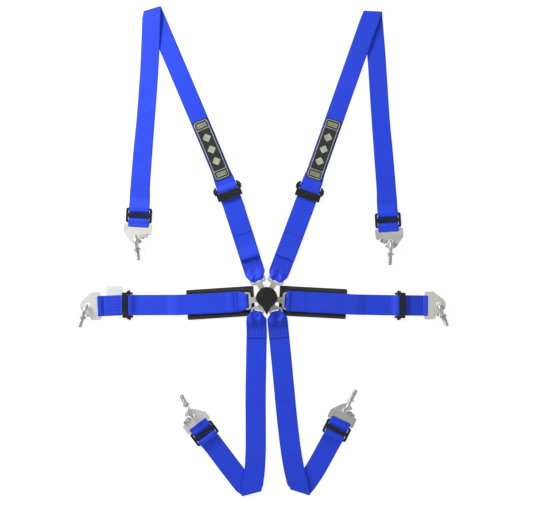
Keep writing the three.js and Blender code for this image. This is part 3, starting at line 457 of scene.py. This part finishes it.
# ---- straps -------------------------------------------------------------------------------------
def cross_lines(node):
    """The two edges of every cross line of a strap's CAD solid, and its thickness.

    Every cross line has four corners, and corners are joined only to those of the next cross line, so
    counting steps from one cut end groups them."""
    mesh = frame["nodes"][node].data
    points = np.array([v.co for v in mesh.vertices])
    places, index = np.unique(np.round(points / MM, 3), axis=0, return_inverse=True)
    index = index.reshape(-1)
    mesh.calc_loop_triangles()
    faces = [tuple(index[list(t.vertices)]) for t in mesh.loop_triangles]
    near = {i: set() for i in range(len(places))}
    across = {}
    for face in faces:
        for k in range(3):
            a, b, c = face[k], face[(k + 1) % 3], face[(k + 2) % 3]
            near[a].add(b)
            near[b].add(a)
            across.setdefault(frozenset((a, b)), []).append(c)

    def rings(start):
        seen, layer, found = set(start), list(start), []
        while layer:
            found.append(layer)
            layer = sorted({n for i in layer for n in near[i]} - seen)
            seen |= set(layer)
        return found if all(len(ring) == 4 for ring in found) else None

    def size(edge):
        corners = [places[i] for i in (*edge, *across[edge])]
        return float(np.linalg.norm(np.cross(corners[1] - corners[0], corners[2] - corners[0])))

    quads = sorted((e for e in across if len(across[e]) == 2 and len({*e, *across[e]}) == 4), key=size)
    ends = next(filter(None, (rings(sorted({*e, *across[e]})) for e in quads)))
    left, right, thickness = [], [], []
    for ring in ends:
        corner = places[ring]
        mate = min((1, 2, 3), key=lambda k: np.linalg.norm(corner[k] - corner[0]))
        rest = [k for k in (1, 2, 3) if k != mate]
        sides = [(corner[0] + corner[mate]) / 2, (corner[rest[0]] + corner[rest[1]]) / 2]
        thickness.append(np.linalg.norm(corner[0] - corner[mate]))
        if left:
            same = np.linalg.norm(sides[0] - left[-1]) + np.linalg.norm(sides[1] - right[-1])
            other = np.linalg.norm(sides[1] - left[-1]) + np.linalg.norm(sides[0] - right[-1])
            if other < same:
                sides.reverse()
        left.append(sides[0])
        right.append(sides[1])
    return np.array(left) * MM, np.array(right) * MM, float(np.median(thickness)) * MM


def eased(stations, values, wanted, straight):
    """Smooth values between stations that never swing past them, or even steps where a gap is straight."""
    gap = np.diff(stations)
    slope = np.diff(values, axis=0) / gap[:, None]
    before, after = slope[:-1], slope[1:]
    weight = gap[:-1, None] / (gap[:-1] + gap[1:])[:, None]
    same = before * after > 0
    middle = np.where(same, before * after / np.where(same, weight * after + (1 - weight) * before, 1), 0)
    rate = np.concatenate([slope[:1], middle, slope[-1:]])
    i = np.clip(np.searchsorted(stations, wanted, side="right") - 1, 0, len(gap) - 1)
    t = ((wanted - stations[i]) / gap[i])[:, None]
    h = gap[i][:, None]
    curve = (
        (2 * t**3 - 3 * t**2 + 1) * values[i]
        + (t**3 - 2 * t**2 + t) * h * rate[i]
        + (3 * t**2 - 2 * t**3) * values[i + 1]
        + (t**3 - t**2) * h * rate[i + 1]
    )
    return np.where(straight[i][:, None], values[i] + (values[i + 1] - values[i]) * t, curve)


def smoothstep(low, high, value):
    t = np.clip((value - low) / (high - low), 0, 1)
    return t * t * (3 - 2 * t)


FITTING_ENDINGS = ("_adjuster_frame", "_three_bar_slide", "_hook_plate", "_tongue")
FITTINGS = [
    np.array(sum((Vector(corner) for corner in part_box(node)), Vector()) / 2)
    for node in frame["nodes"] if node.endswith(FITTING_ENDINGS)
]


LIE_HEIGHT = 0.28 * MM
LIE_LOWEST = 2.2  # lifts the wave so that it never dips below the floor


def lie(x, y):
    """How far webbing stands off the floor between its fittings: a slow, shallow wave."""
    wave = (
        np.sin(x * 31 + y * 47 + 0.6) + 0.7 * np.sin(y * 83 - x * 22 + 2.1) + 0.5 * np.sin(x * 90 + y * 12)
    )
    free = np.ones_like(x)
    for centre in FITTINGS:
        free = np.minimum(free, smoothstep(45 * MM, 100 * MM, np.hypot(x - centre[0], y - centre[1])))
    return LIE_HEIGHT * (wave + LIE_LOWEST) * free


LAP_SLOT_INSET = 6.8 * MM  # from the outer end of a lap tongue to its slot
SLOT_REACH = 50 * MM  # from the buckle's middle to the slot of a shoulder or crotch tongue


def tongue_slot(strap):
    """The middle of the slot that the strap is sewn round, on the floor plan."""
    joint = JOINTS.get(f"{strap}_release")
    low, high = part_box(f"{strap}_tongue")
    middle = (low + high) / 2
    out = Vector(joint["axis"]) if joint else Vector((middle.x, middle.y, 0)).normalized()
    reach = max(abs(low.x), abs(high.x)) - LAP_SLOT_INSET if "lap" in strap else SLOT_REACH
    return np.array((out.x, out.y)) * reach


SLANT_ANGLE = math.radians(6)  # cross lines that turn more than this lie beside a fold
MESH_STEP = 2.6 * MM
MESH_BEND = 9  # degrees
MESH_COLUMNS = 18
RIM = 0.9 * MM


class Ribbon:
    """A strap as a fine surface. Places on it are (along, across) in metres; across is 0 in the middle."""

    def __init__(self, node, start=None):
        left, right, self.thickness = cross_lines(node)
        if start is not None and np.linalg.norm(left[-1][:2] - start) < np.linalg.norm(left[0][:2] - start):
            left, right = left[::-1], right[::-1]
        self.node = node
        self.pucker = None  # where the strap is gathered: the slot, the folds' height and their number
        self.measure(left, right)

    def measure(self, left, right):
        self.middle, self.half = (left + right) / 2, (left - right) / 2
        step = np.linalg.norm(np.diff(self.middle, axis=0), axis=1)
        self.stations = np.concatenate([[0], np.cumsum(step)])
        self.length = self.stations[-1]
        aim = self.half / np.linalg.norm(self.half, axis=1)[:, None]
        self.slant = (aim[:-1] * aim[1:]).sum(1) < math.cos(SLANT_ANGLE)
        flow = np.diff(self.middle, axis=0) / step[:, None]
        bend = np.degrees(np.arccos(np.clip((flow[:-1] * flow[1:]).sum(1), -1, 1)))
        bend = np.concatenate([[0], bend, [0]])
        samples = [np.array([0.0])]
        for i, length in enumerate(step):
            count = math.ceil(max(length / MESH_STEP, max(bend[i], bend[i + 1]) / MESH_BEND))
            samples.append(self.stations[i] + length * np.arange(1, count + 1) / count)
        self.along = np.concatenate(samples)

    def flip(self):
        """Measure from the other end."""
        self.measure((self.middle + self.half)[::-1], (self.middle - self.half)[::-1])

    def eased(self, values, along):
        return eased(self.stations, values, np.clip(along, 0, self.length), self.slant)

    def frames(self, along):
        """The middle of the strap, half of its width as a vector, and the way its surface faces."""
        along = np.atleast_1d(np.asarray(along, float))
        half = self.eased(self.half, along)
        small = 0.3 * MM
        tangent = self.eased(self.middle, along + small) - self.eased(self.middle, along - small)
        tangent /= np.linalg.norm(tangent, axis=1)[:, None]
        normal = np.cross(tangent, half)
        normal /= np.linalg.norm(normal, axis=1)[:, None]
        return self.eased(self.middle, along), half, normal

    def at(self, along, across, off):
        """Points at the given distances along and across, raised off the middle surface."""
        centre, half, normal = self.frames(along)
        across = np.asarray(across, float).reshape(len(centre), -1)
        share = across / np.linalg.norm(half, axis=1)[:, None]
        off = np.broadcast_to(off, across.shape)
        points = centre[:, None] + half[:, None] * share[..., None] + normal[:, None] * off[..., None]
        return self.settled(points, share)

    def settled(self, points, share):
        """The points with the strap's slow wave, and with the folds that it takes where a slot gathers it.

        Distances from the slot are in mm: far goes all round, ahead goes along the strap."""
        points[..., 2] += lie(points[..., 0], points[..., 1])
        if self.pucker:
            slot, height, folds = self.pucker
            away = self.middle[0][:2] - slot
            away /= np.linalg.norm(away)
            offset = points[..., :2] - slot
            far = np.hypot(offset[..., 0], offset[..., 1]) / MM
            ahead = (offset @ away) / MM
            near_slot = smoothstep(6.8, 12, far) * (1 - smoothstep(13, 34, far))
            wave = 0.5 - 0.5 * np.cos(math.pi * folds * (share + 1))
            crease = np.sin(2 * math.pi * (far - 11) / 13 + 0.9 * np.sin(3 * share))
            points[..., 2] += height * near_slot * (wave * (1 - 0.35 * share**2) + 0.22 * crease)
            at_loop = (1 - smoothstep(1, 10, ahead)) * smoothstep(-9, -4, ahead)
            points[..., :2] -= (0.42 * height * wave * at_loop)[..., None] * away
        return points

    def mesh(self):
        """The strap's whole surface, with rounded edges."""
        width = np.linalg.norm(self.frames(self.along)[1], axis=1)
        inner = np.linspace(-1, 1, MESH_COLUMNS)
        profile = [(a, 1.0, 0.0) for a in inner] + [(1, 0.55, 0.62), (1, 0, 1), (1, -0.55, 0.62)]
        profile += [(a, -1.0, 0.0) for a in inner[::-1]] + [(-1, -0.55, 0.62), (-1, 0, 1), (-1, 0.55, 0.62)]
        share, rise, out = np.array(profile).T
        across = share * (width[:, None] - RIM) + np.sign(share) * RIM * out
        points = self.at(self.along, across, np.broadcast_to(rise * self.thickness / 2, across.shape))
        count = len(profile)
        faces = grid_faces(len(self.along), count) + end_faces(len(self.along), count)
        uv = np.stack([across.ravel(), np.repeat(self.along, count)], 1)
        return mesh_of(points.reshape(-1, 3), faces, uv, 50)

    def nearest(self, place):
        """Distance along the strap of the highest layer that passes over a place on the plan."""
        centre = self.frames(self.along)[0]
        far = np.hypot(centre[:, 0] - place[0], centre[:, 1] - place[1])
        close = far < far.min() + 1.5 * MM
        return self.along[int(np.where(close, centre[:, 2], -1).argmax())]

    def outside(self, along):
        """1 where the upper side of this place is the outside of the solid's normal, else -1."""
        return 1 if self.frames(along)[2][0, 2] > 0 else -1


SEAM_RADIUS = 0.42 * MM
SEAM_GAP = 2.2 * MM  # between the two lines of a double cross seam
ZIGZAG_ROWS = 6
ZIGZAG_SWING = 1.7 * MM
ZIGZAG_PITCH = 8.5 * MM


def seam(ribbon, places):
    """A thread on the upper side of a strap through (along, across) places."""
    along, across = np.array(places).T
    side = ribbon.outside(float(np.median(along)))
    points = ribbon.at(along, across[:, None], side * (ribbon.thickness / 2 + 0.12 * MM))[:, 0]
    return tube(points, SEAM_RADIUS)


def cross_seam(ribbon, along):
    """A straight line of stitches across the strap."""
    half = np.linalg.norm(ribbon.frames(along)[1][0]) - 2.5 * MM
    across = np.linspace(-half, half, 26)
    return seam(ribbon, [(along, a) for a in across])


def zigzag(ribbon, low, high):
    """Rows of zigzag stitching that run along the strap, as on sewn harness ends."""
    steps = max(6, int((high - low) / (ZIGZAG_PITCH / 4)))
    along = np.linspace(low, high, steps + 1)
    half = np.linalg.norm(ribbon.frames(along)[1], axis=1) - 4.5 * MM
    wave = ZIGZAG_SWING * np.array([0, 1, 0, -1])[np.arange(steps + 1) % 4]
    shares = np.linspace(-1, 1, ZIGZAG_ROWS)
    return [seam(ribbon, np.stack([along, share * half + wave], 1)) for share in shares]


def sew(name, parts, body, thread=BLUE_THREAD):
    """Seams as one piece of thread."""
    piece(name, mesh_of(*joined(parts)), thread, body)


def strap_piece(ribbon, material=BLUE):
    """The ribbon as the piece that stands for its CAD node."""
    node = ribbon.node
    return piece(f"{node}_woven", ribbon.mesh(), material, BODY[node], [node])


def make_shoulder(strap):
    """Both webbings of a shoulder strap, their stitching, and the patch."""
    slot = tongue_slot(strap)
    lower = Ribbon(f"{strap}_lower_webbing", slot)
    lower.pucker = (slot, 4 * MM, 2)
    strap_piece(lower)
    stitches = zigzag(lower, 5 * MM, 29 * MM)
    long = Ribbon(f"{strap}_long_webbing", slot)
    strap_piece(long)
    hem = long.nearest(long.middle[0])
    stitches += [cross_seam(long, hem), cross_seam(long, hem + SEAM_GAP)]
    sew(f"{strap}_stitching", stitches, BODY[f"{strap}_long_webbing"])
    make_label(strap)


def make_label(strap):
    """A cloth patch with an embroidered border, two end panels and three plain diamonds."""
    node = f"{strap}_label"
    patch = Ribbon(node, np.zeros(2))
    made = strap_piece(patch, LABEL_CLOTH)
    half = np.linalg.norm(patch.half[0])
    side = patch.outside(patch.length / 2)
    low = side * (patch.thickness / 2 - 0.1 * MM)
    high = side * (patch.thickness / 2 + 0.35 * MM)

    def stroke(corners, width):
        """A flat embroidered line through (along, across) corners."""
        line = np.array(corners, float)
        dense = [line[0]]
        for a, b in zip(line[:-1], line[1:]):
            count = max(1, int(np.linalg.norm(b - a) / (4 * MM)))
            dense += [a + (b - a) * k / count for k in range(1, count + 1)]
        line = np.array(dense)
        flow = np.gradient(line, axis=0)
        if np.allclose(line[0], line[-1]):
            flow[0] = flow[-1] = line[1] - line[-2]
        flow /= np.linalg.norm(flow, axis=1)[:, None]
        across = np.stack([-flow[:, 1], flow[:, 0]], 1) * width / 2
        ring = []
        for side_shift, rise in ((across, low), (across * 0.8, high), (-across * 0.8, high), (-across, low)):
            places = line + side_shift
            ring.append(patch.at(places[:, 0], places[:, 1:2], rise)[:, 0])
        vertices = np.stack(ring, 1).reshape(-1, 3)
        return vertices, grid_faces(len(line), 4) + end_faces(len(line), 4), np.zeros((len(vertices), 2))

    def rounded(a0, a1, b0, b1, radius):
        """Points round a rectangle with rounded corners, the first one again at the end."""
        corners, turns = [], 5
        for a, b, first in ((a1 - radius, b1 - radius, 0), (a0 + radius, b1 - radius, 90),
                            (a0 + radius, b0 + radius, 180), (a1 - radius, b0 + radius, 270)):
            for k in range(turns + 1):
                turn = math.radians(first + 90 * k / turns)
                corners.append((a + radius * math.cos(turn), b + radius * math.sin(turn)))
        return corners + corners[:1]

    inset, line, panel, bar_inset = 3.4 * MM, 1.5 * MM, 20 * MM, 4 * MM
    a0, a1, b0, b1 = inset, patch.length - inset, inset - half, half - inset
    parts = [stroke(rounded(a0, a1, b0, b1, 5 * MM), line)]
    for wall in (a0 + panel, a1 - panel):
        parts.append(stroke([(wall, b0), (wall, b1)], line))
    for middle in (a0 + panel / 2, a1 - panel / 2):
        for shift in (-4.4, -1.5, 1.5, 4.4):
            bar = middle + shift * MM
            parts.append(stroke([(bar, b0 + bar_inset), (bar, b1 - bar_inset)], line))
    for share in (0.3, 0.5, 0.7):
        centre = patch.length * share
        for reach in (9.5 * MM, 6.8 * MM, 4.0 * MM, 1.6 * MM):
            far, near = (centre + reach, 0), (centre - reach, 0)
            parts.append(stroke([far, (centre, reach), near, (centre, -reach), far], 2.2 * MM))
    sew(f"{strap}_label_embroidery", parts, BODY[node], LABEL_THREAD)


def make_lap(strap):
    """Both webbings of a lap strap and their stitching."""
    slot = tongue_slot(strap)
    lap = Ribbon(f"{strap}_webbing")
    if lap.middle[0][2] > lap.middle[-1][2]:
        lap.flip()
    lap.pucker = (slot, 0.8 * MM, 2)
    strap_piece(lap)
    end = Ribbon(f"{strap}_end_webbing")
    farthest = np.linalg.norm(end.middle[:, :2], axis=1).argmax()
    if end.stations[farthest] > end.length / 2:
        end.flip()
    strap_piece(end)
    hem = lap.length - 7 * MM
    stitches = [cross_seam(lap, hem), cross_seam(lap, hem - SEAM_GAP)]
    sew(f"{strap}_stitching", stitches, BODY[f"{strap}_webbing"])
    loop = [cross_seam(end, 1 * MM), *zigzag(end, end.length - 40 * MM, end.length - 4 * MM)]
    sew(f"{strap}_end_stitching", loop, BODY[f"{strap}_end_webbing"])


def make_crotch(strap):
    """The webbing of a crotch strap and its stitching."""
    slot = tongue_slot(strap)
    strip = Ribbon(f"{strap}_webbing", slot)
    strip.pucker = (slot, 5.5 * MM, 2)
    strap_piece(strip)
    stitches = zigzag(strip, 6 * MM, 42 * MM)
    stitches += [cross_seam(strip, 1.6 * MM)]
    sew(f"{strap}_stitching", stitches, BODY[f"{strap}_webbing"])


# ---- knob, eyebolts, pads and tag ---------------------------------------------------------------
# The lever of the knob: half its width at each distance from the knob's middle, along Y.
LEVER_Y = np.array([-38, -28, -20, -10, -5, -2, 0, 2]) * MM
LEVER_HALF = np.array([2.6, 4.0, 5.2, 8, 12, 16.5, 21, 32]) * MM
HUB_RADIUS = 6 * MM
BORE_RADIUS = 4.3 * MM
BORE_DEPTH = 9.6 * MM


def make_knob():
    """A domed cap with a raised lever, and a hollow for the fingers on each side of it."""
    node = "release_knob"
    points = np.array([v.co for v in frame["nodes"][node].data.vertices])
    far = np.hypot(points[:, 0], points[:, 1])
    cap = points[far > 12 * MM]
    bottom, top, foot = cap[:, 2].min(), points[:, 2].max(), points[:, 2].min()
    rim = cap[cap[:, 2] < bottom + 0.1 * MM]
    sides = 240
    turn = 2 * math.pi * np.arange(sides) / sides
    angle = np.arctan2(rim[:, 1], rim[:, 0])
    order = np.argsort(angle)
    reach = np.interp(turn, angle[order], np.hypot(rim[:, 0], rim[:, 1])[order], period=2 * math.pi)

    def surface(radius):
        x, y = radius * np.cos(turn), radius * np.sin(turn)
        edge = np.interp(y, LEVER_Y, LEVER_HALF)
        hollow = smoothstep(edge, edge + 2.6 * MM, np.abs(x))
        dish = 1 - smoothstep(11.8 * MM, 13 * MM, np.hypot(x, y - 3 * MM))
        crown = top - 5 * MM * (radius / (40 * MM)) ** 2
        return crown - 3.4 * MM * hollow - 0.5 * MM * dish

    edge, chamfer, bore_end = 1.5 * MM, 0.6 * MM, foot + BORE_DEPTH
    rows = [(0.2 * MM, bore_end), (BORE_RADIUS, bore_end), (BORE_RADIUS, foot), (HUB_RADIUS, foot)]
    rows += [(HUB_RADIUS, bottom), (reach - chamfer, bottom), (reach, bottom + chamfer)]
    side_top = surface(reach - edge) - edge
    rows += [(reach, bottom + (side_top - bottom) * share) for share in (0.3, 0.6, 1.0)]
    for tilt in (25, 50, 75):
        back = edge * (1 - math.cos(math.radians(tilt)))
        rows.append((reach - back, side_top + edge * math.sin(math.radians(tilt))))
    rows += [((reach - edge) * share, surface((reach - edge) * share)) for share in np.linspace(1, 0.01, 54)]
    mesh = mesh_of(*spun(rows, sides), 40)
    piece(f"{node}_moulded", mesh, KNOB_PLASTIC, BODY[node], [node])


RING_MAJOR = 12.7 * MM
RING_MINOR = 4.1 * MM
BOLT_SEAT = 20.4 * MM  # from the ring's middle to the face of the collar
SEAT_SHIFT = 7.3 * MM  # from the shank's axis to the mount's point on the collar
SHANK_RADIUS = 5.55 * MM
THREAD_START = 21.9 * MM
THREAD_PITCH = 1.27 * MM
THREAD_DEPTH = 0.42 * MM
# The neck and the collar as radius and distance from the ring's middle, in mm.
NECK_AND_COLLAR = [
    (1.0, 10.8), (5.4, 11.2), (5.0, 13), (4.6, 15), (4.8, 16.2), (8.4, 16.4), (9, 16.9), (9, 19.9),
    (8.4, 20.4), (6.1, 20.4), (5.3, 20.9), (5.0, 21.6),
]


def make_eyebolt(strap):
    """A forged eyebolt: ring, neck, collar and a rolled thread."""
    node = f"{strap}_eyebolt"
    seat = MOUNTS[f"{strap}_bolt_seat"]
    out = Vector(seat["axis"]).normalized()
    across = Vector((-out.y, out.x, 0)).normalized()
    centre = Vector(seat["pos_m"]) - SEAT_SHIFT * across - BOLT_SEAT * out
    bolt = np.array([v.co for v in frame["nodes"][node].data.vertices])
    tip = float(((bolt - np.array(centre)) @ np.array(out)).max())
    rows, columns = 56, 18
    u = 2 * math.pi * np.arange(rows) / rows
    v = 2 * math.pi * np.arange(columns) / columns
    reach = RING_MAJOR + RING_MINOR * np.cos(v)[None]
    height = np.broadcast_to(RING_MINOR * np.sin(v), (rows, columns))
    ring = np.stack([height, reach * np.sin(u)[:, None], reach * np.cos(u)[:, None]], -1).reshape(-1, 3)
    ring_part = (ring, grid_faces(rows, columns, looped=True), np.zeros((len(ring), 2)))
    sides = 28
    turn = np.arange(sides) / sides
    bolt_rows = [(r * MM, z * MM) for r, z in NECK_AND_COLLAR]
    thread_end = tip - 1.3 * MM
    count = int((thread_end - THREAD_START) / (THREAD_PITCH / 8))
    for z in np.linspace(THREAD_START, thread_end, count):
        saw = np.abs(((z / THREAD_PITCH - turn) % 1) * 2 - 1)
        bolt_rows.append((SHANK_RADIUS - THREAD_DEPTH * smoothstep(0.15, 0.85, saw), z))
    bolt_rows += [(SHANK_RADIUS - 0.9 * MM, tip - 0.5 * MM), (SHANK_RADIUS - 1.4 * MM, tip), (0.3 * MM, tip)]
    place = Matrix((across, out.cross(across), out)).transposed().to_4x4()
    place.translation = centre
    whole = joined([moved(ring_part, place), moved(spun(bolt_rows, sides), place)])
    piece(f"{node}_forged", mesh_of(*whole, 40), BRIGHT, BODY[node], [node])


PAD_INSET = 3.2 * MM  # of the block that is blown up, inside the pad's edge
PAD_START = 0.55  # the block's share of the pad's thickness
PAD_PRESSURE = 4
PAD_CAP = 2.4 * MM
PAD_FRAMES = 20
PAD_VOXEL = 3 * MM


def inflated(mesh):
    """A mesh blown up as sewn cloth; no point moves farther than the cap."""
    scene = bpy.context.scene
    soft = bpy.data.objects.new("soft", mesh)
    scene.collection.objects.link(soft)
    remesh = soft.modifiers.new("remesh", "REMESH")
    remesh.mode = "VOXEL"
    remesh.voxel_size = PAD_VOXEL
    skin = bpy.data.meshes.new_from_object(soft.evaluated_get(bpy.context.evaluated_depsgraph_get()))
    soft.modifiers.clear()
    soft.data = skin
    start = np.array([v.co for v in skin.vertices])
    cloth = soft.modifiers.new("cloth", "CLOTH")
    cloth.settings.quality = 6
    cloth.settings.use_pressure = True
    cloth.settings.uniform_pressure_force = PAD_PRESSURE
    cloth.settings.effector_weights.gravity = 0
    cloth.point_cache.frame_start, cloth.point_cache.frame_end = 1, PAD_FRAMES
    for number in range(1, PAD_FRAMES + 1):
        scene.frame_set(number)
    blown = soft.evaluated_get(bpy.context.evaluated_depsgraph_get()).to_mesh()
    shift = np.array([v.co for v in blown.vertices]) - start
    far = np.linalg.norm(shift, axis=1)[:, None]
    start = start + shift * np.minimum(1, PAD_CAP / np.maximum(far, 1e-9))
    soft.modifiers.clear()
    scene.frame_set(1)
    faces = [list(p.vertices) for p in skin.polygons]
    bpy.data.objects.remove(soft)
    return start, faces


# The binding tape's outline, going round it: distance inside the pad's edge and height, in mm.
TAPE_OUTLINE = [
    (9.2, 3.0), (9.0, 4.2), (7.4, 4.7), (5.6, 4.4), (4.7, 3.9), (3.8, 4.4), (2.2, 4.6), (0.7, 3.9),
    (0.1, 2.4), (0.7, 0.7), (2.4, 0.2), (9.0, 0.2),
]
TAPE_EDGE = 8  # the row of the outline that lies at the pad's edge
# The pad's height limit at each distance inside its edge, in mm, up to where only its thickness limits it.
CROWN_INSET = [0, 8, 10, 12, 18]
CROWN_HEIGHT = [3.6, 3.6, 3.0, 4.6]
# Rows of stitches on the pad: distance inside its edge and height, in mm.
PAD_SEAMS = [(9.9, 3.3), (4.7, 4.05)]
PAD_CORNER = 4 * MM
CORNER_POINTS = 7
SIDE_STEPS = 24
STITCH_PITCH = 4.2 * MM
STITCH = np.array([0.0, 0.25, 1.45, 2.65, 2.9]) * MM


def make_pad(side):
    """A foam pad: a filled cloth core with two rows of ribbed tape bound and stitched round its edge."""
    node = f"{side}_lap_pad"
    points = np.array([v.co for v in frame["nodes"][node].data.vertices])
    low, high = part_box(node)
    flow = Vector(JOINTS[f"{side}_pad_slide"]["axis"]).normalized()
    place = Matrix((flow, Vector((0, 0, 1)).cross(flow), Vector((0, 0, 1)))).transposed().to_4x4()
    place.translation = Vector(((low.x + high.x) / 2, (low.y + high.y) / 2, low.z))
    local = (points - np.array(place.translation)) @ np.array(place.to_3x3())
    length, width, thick = local.max(0) - local.min(0)
    half_size = np.array((length / 2, width / 2))

    bm = bmesh.new()
    bmesh.ops.create_cube(bm, size=1)
    block_size = (length - 2 * PAD_INSET, width - 2 * PAD_INSET, PAD_START * thick)
    bmesh.ops.scale(bm, vec=block_size, verts=bm.verts)
    bmesh.ops.translate(bm, vec=(0, 0, thick / 2), verts=bm.verts)
    block = bpy.data.meshes.new("block")
    bm.to_mesh(block)
    bm.free()
    core, faces = inflated(block)
    edge = (half_size - np.abs(core[:, :2])).min(1)
    crown = np.interp(edge / MM, CROWN_INSET, [*CROWN_HEIGHT, thick / MM - 0.05]) * MM
    core[:, 2] = np.clip(core[:, 2], 0.35 * MM, crown)
    core, faces, _ = moved((core, faces, None), place)
    pad = piece(f"{node}_soft", mesh_of(core, faces, None, 60), PAD_CLOTH, BODY[node], [node])
    subdivide = pad.modifiers.new("smooth", "SUBSURF")
    subdivide.levels = subdivide.render_levels = 1

    def loop(inset, height):
        """Points round the pad at a distance inside its edge."""
        half = half_size - inset
        corner = max(PAD_CORNER - inset, 0.4 * MM)
        ring = []
        for quarter, (sx, sy) in enumerate(((1, 1), (-1, 1), (-1, -1), (1, -1))):
            middle = half * (sx, sy) - corner * np.array((sx, sy))
            for k in range(CORNER_POINTS):
                turn = math.radians(90 * (quarter + k / (CORNER_POINTS - 1)))
                ring.append(middle + corner * np.array((math.cos(turn), math.sin(turn))))
        ring = np.array(ring)
        dense = []
        for k, begin in enumerate(ring):
            finish = ring[(k + 1) % len(ring)]
            steps = SIDE_STEPS if k % CORNER_POINTS == CORNER_POINTS - 1 else 1
            dense += [begin + (finish - begin) * n / steps for n in range(steps)]
        dense = np.array(dense)
        return np.column_stack([dense, np.full(len(dense), height)])

    rings = [loop(inset * MM, height * MM) for inset, height in TAPE_OUTLINE]
    along = distance_along(rings[TAPE_EDGE])
    rows, columns = len(rings), len(along)
    insets = np.array(TAPE_OUTLINE)[:, 0] * MM
    uv = np.column_stack([np.repeat(insets, columns), np.tile(along, rows)])
    faces = [face[::-1] for face in grid_faces(rows, columns, looped=True)]
    tape = moved((np.concatenate(rings), faces, uv), place)
    piece(f"{node}_binding", mesh_of(*tape, 50), PAD_TAPE, BODY[node])

    stitches = []
    for inset, height in PAD_SEAMS:
        path = loop(inset * MM, height * MM)
        path = np.concatenate([path, path[:1]])
        travel = distance_along(path)
        for begin in np.arange(0, travel[-1] - 4 * MM, STITCH_PITCH):
            wanted = begin + STITCH
            dash = np.column_stack([np.interp(wanted, travel, path[:, axis]) for axis in range(3)])
            dash[[0, -1], 2] -= 0.45 * MM
            stitches.append(moved(tube(dash, 0.28 * MM, 5), place))
    sew(f"{node}_stitching", stitches, BODY[node], PAD_THREAD)


def make_tag():
    """The care tag: a satin ribbon sewn in under the end webbing, free and a little curled beyond it."""
    node = "care_tag"
    low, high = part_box(node)
    strap_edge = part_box("left_lap_end_webbing")[1].y
    rows, columns = 26, 30
    x, y = np.meshgrid(np.linspace(low.x, high.x, columns), np.linspace(low.y, high.y, rows))
    free = smoothstep(strap_edge - 1 * MM, high.y, y)
    lift = free * (1.3 + 0.5 * np.sin((x - low.x) * 130) + 0.7 * ((x - low.x) / (high.x - low.x))) * MM
    turned = 0.017 * (x - (low.x + high.x) / 2)
    thick = high.z - low.z
    upper = np.stack([x, np.clip(y + turned, low.y, high.y), low.z + lift + thick], -1)
    lower = upper - np.array((0, 0, thick))
    vertices = np.concatenate([upper, lower[:, ::-1]], 1).reshape(-1, 3)
    count = 2 * columns
    faces = [face[::-1] for face in grid_faces(rows, count) + end_faces(rows, count)]
    mesh = mesh_of(vertices, faces, vertices[:, 1::-1], 60)
    tag = piece(f"{node}_satin", mesh, TAG_SATIN, BODY[node], [node])


# ---- the whole harness --------------------------------------------------------------------------
MAKERS = {"shoulder": make_shoulder, "lap": make_lap, "crotch": make_crotch}
for strap in STRAPS:
    MAKERS[strap.split("_")[1]](strap)

make_knob()
for strap in STRAPS:
    make_eyebolt(strap)
for side in ("left", "right"):
    make_pad(side)
make_tag()

for node in frame["nodes"]:
    if SLOT[node] in HARD_FINISHES and not node.endswith(("_eyebolt", "_knob")):
        work_node(node, FRAME_BEVEL if node.endswith("_adjuster_frame") else PLATE_BEVEL)

set_stage()
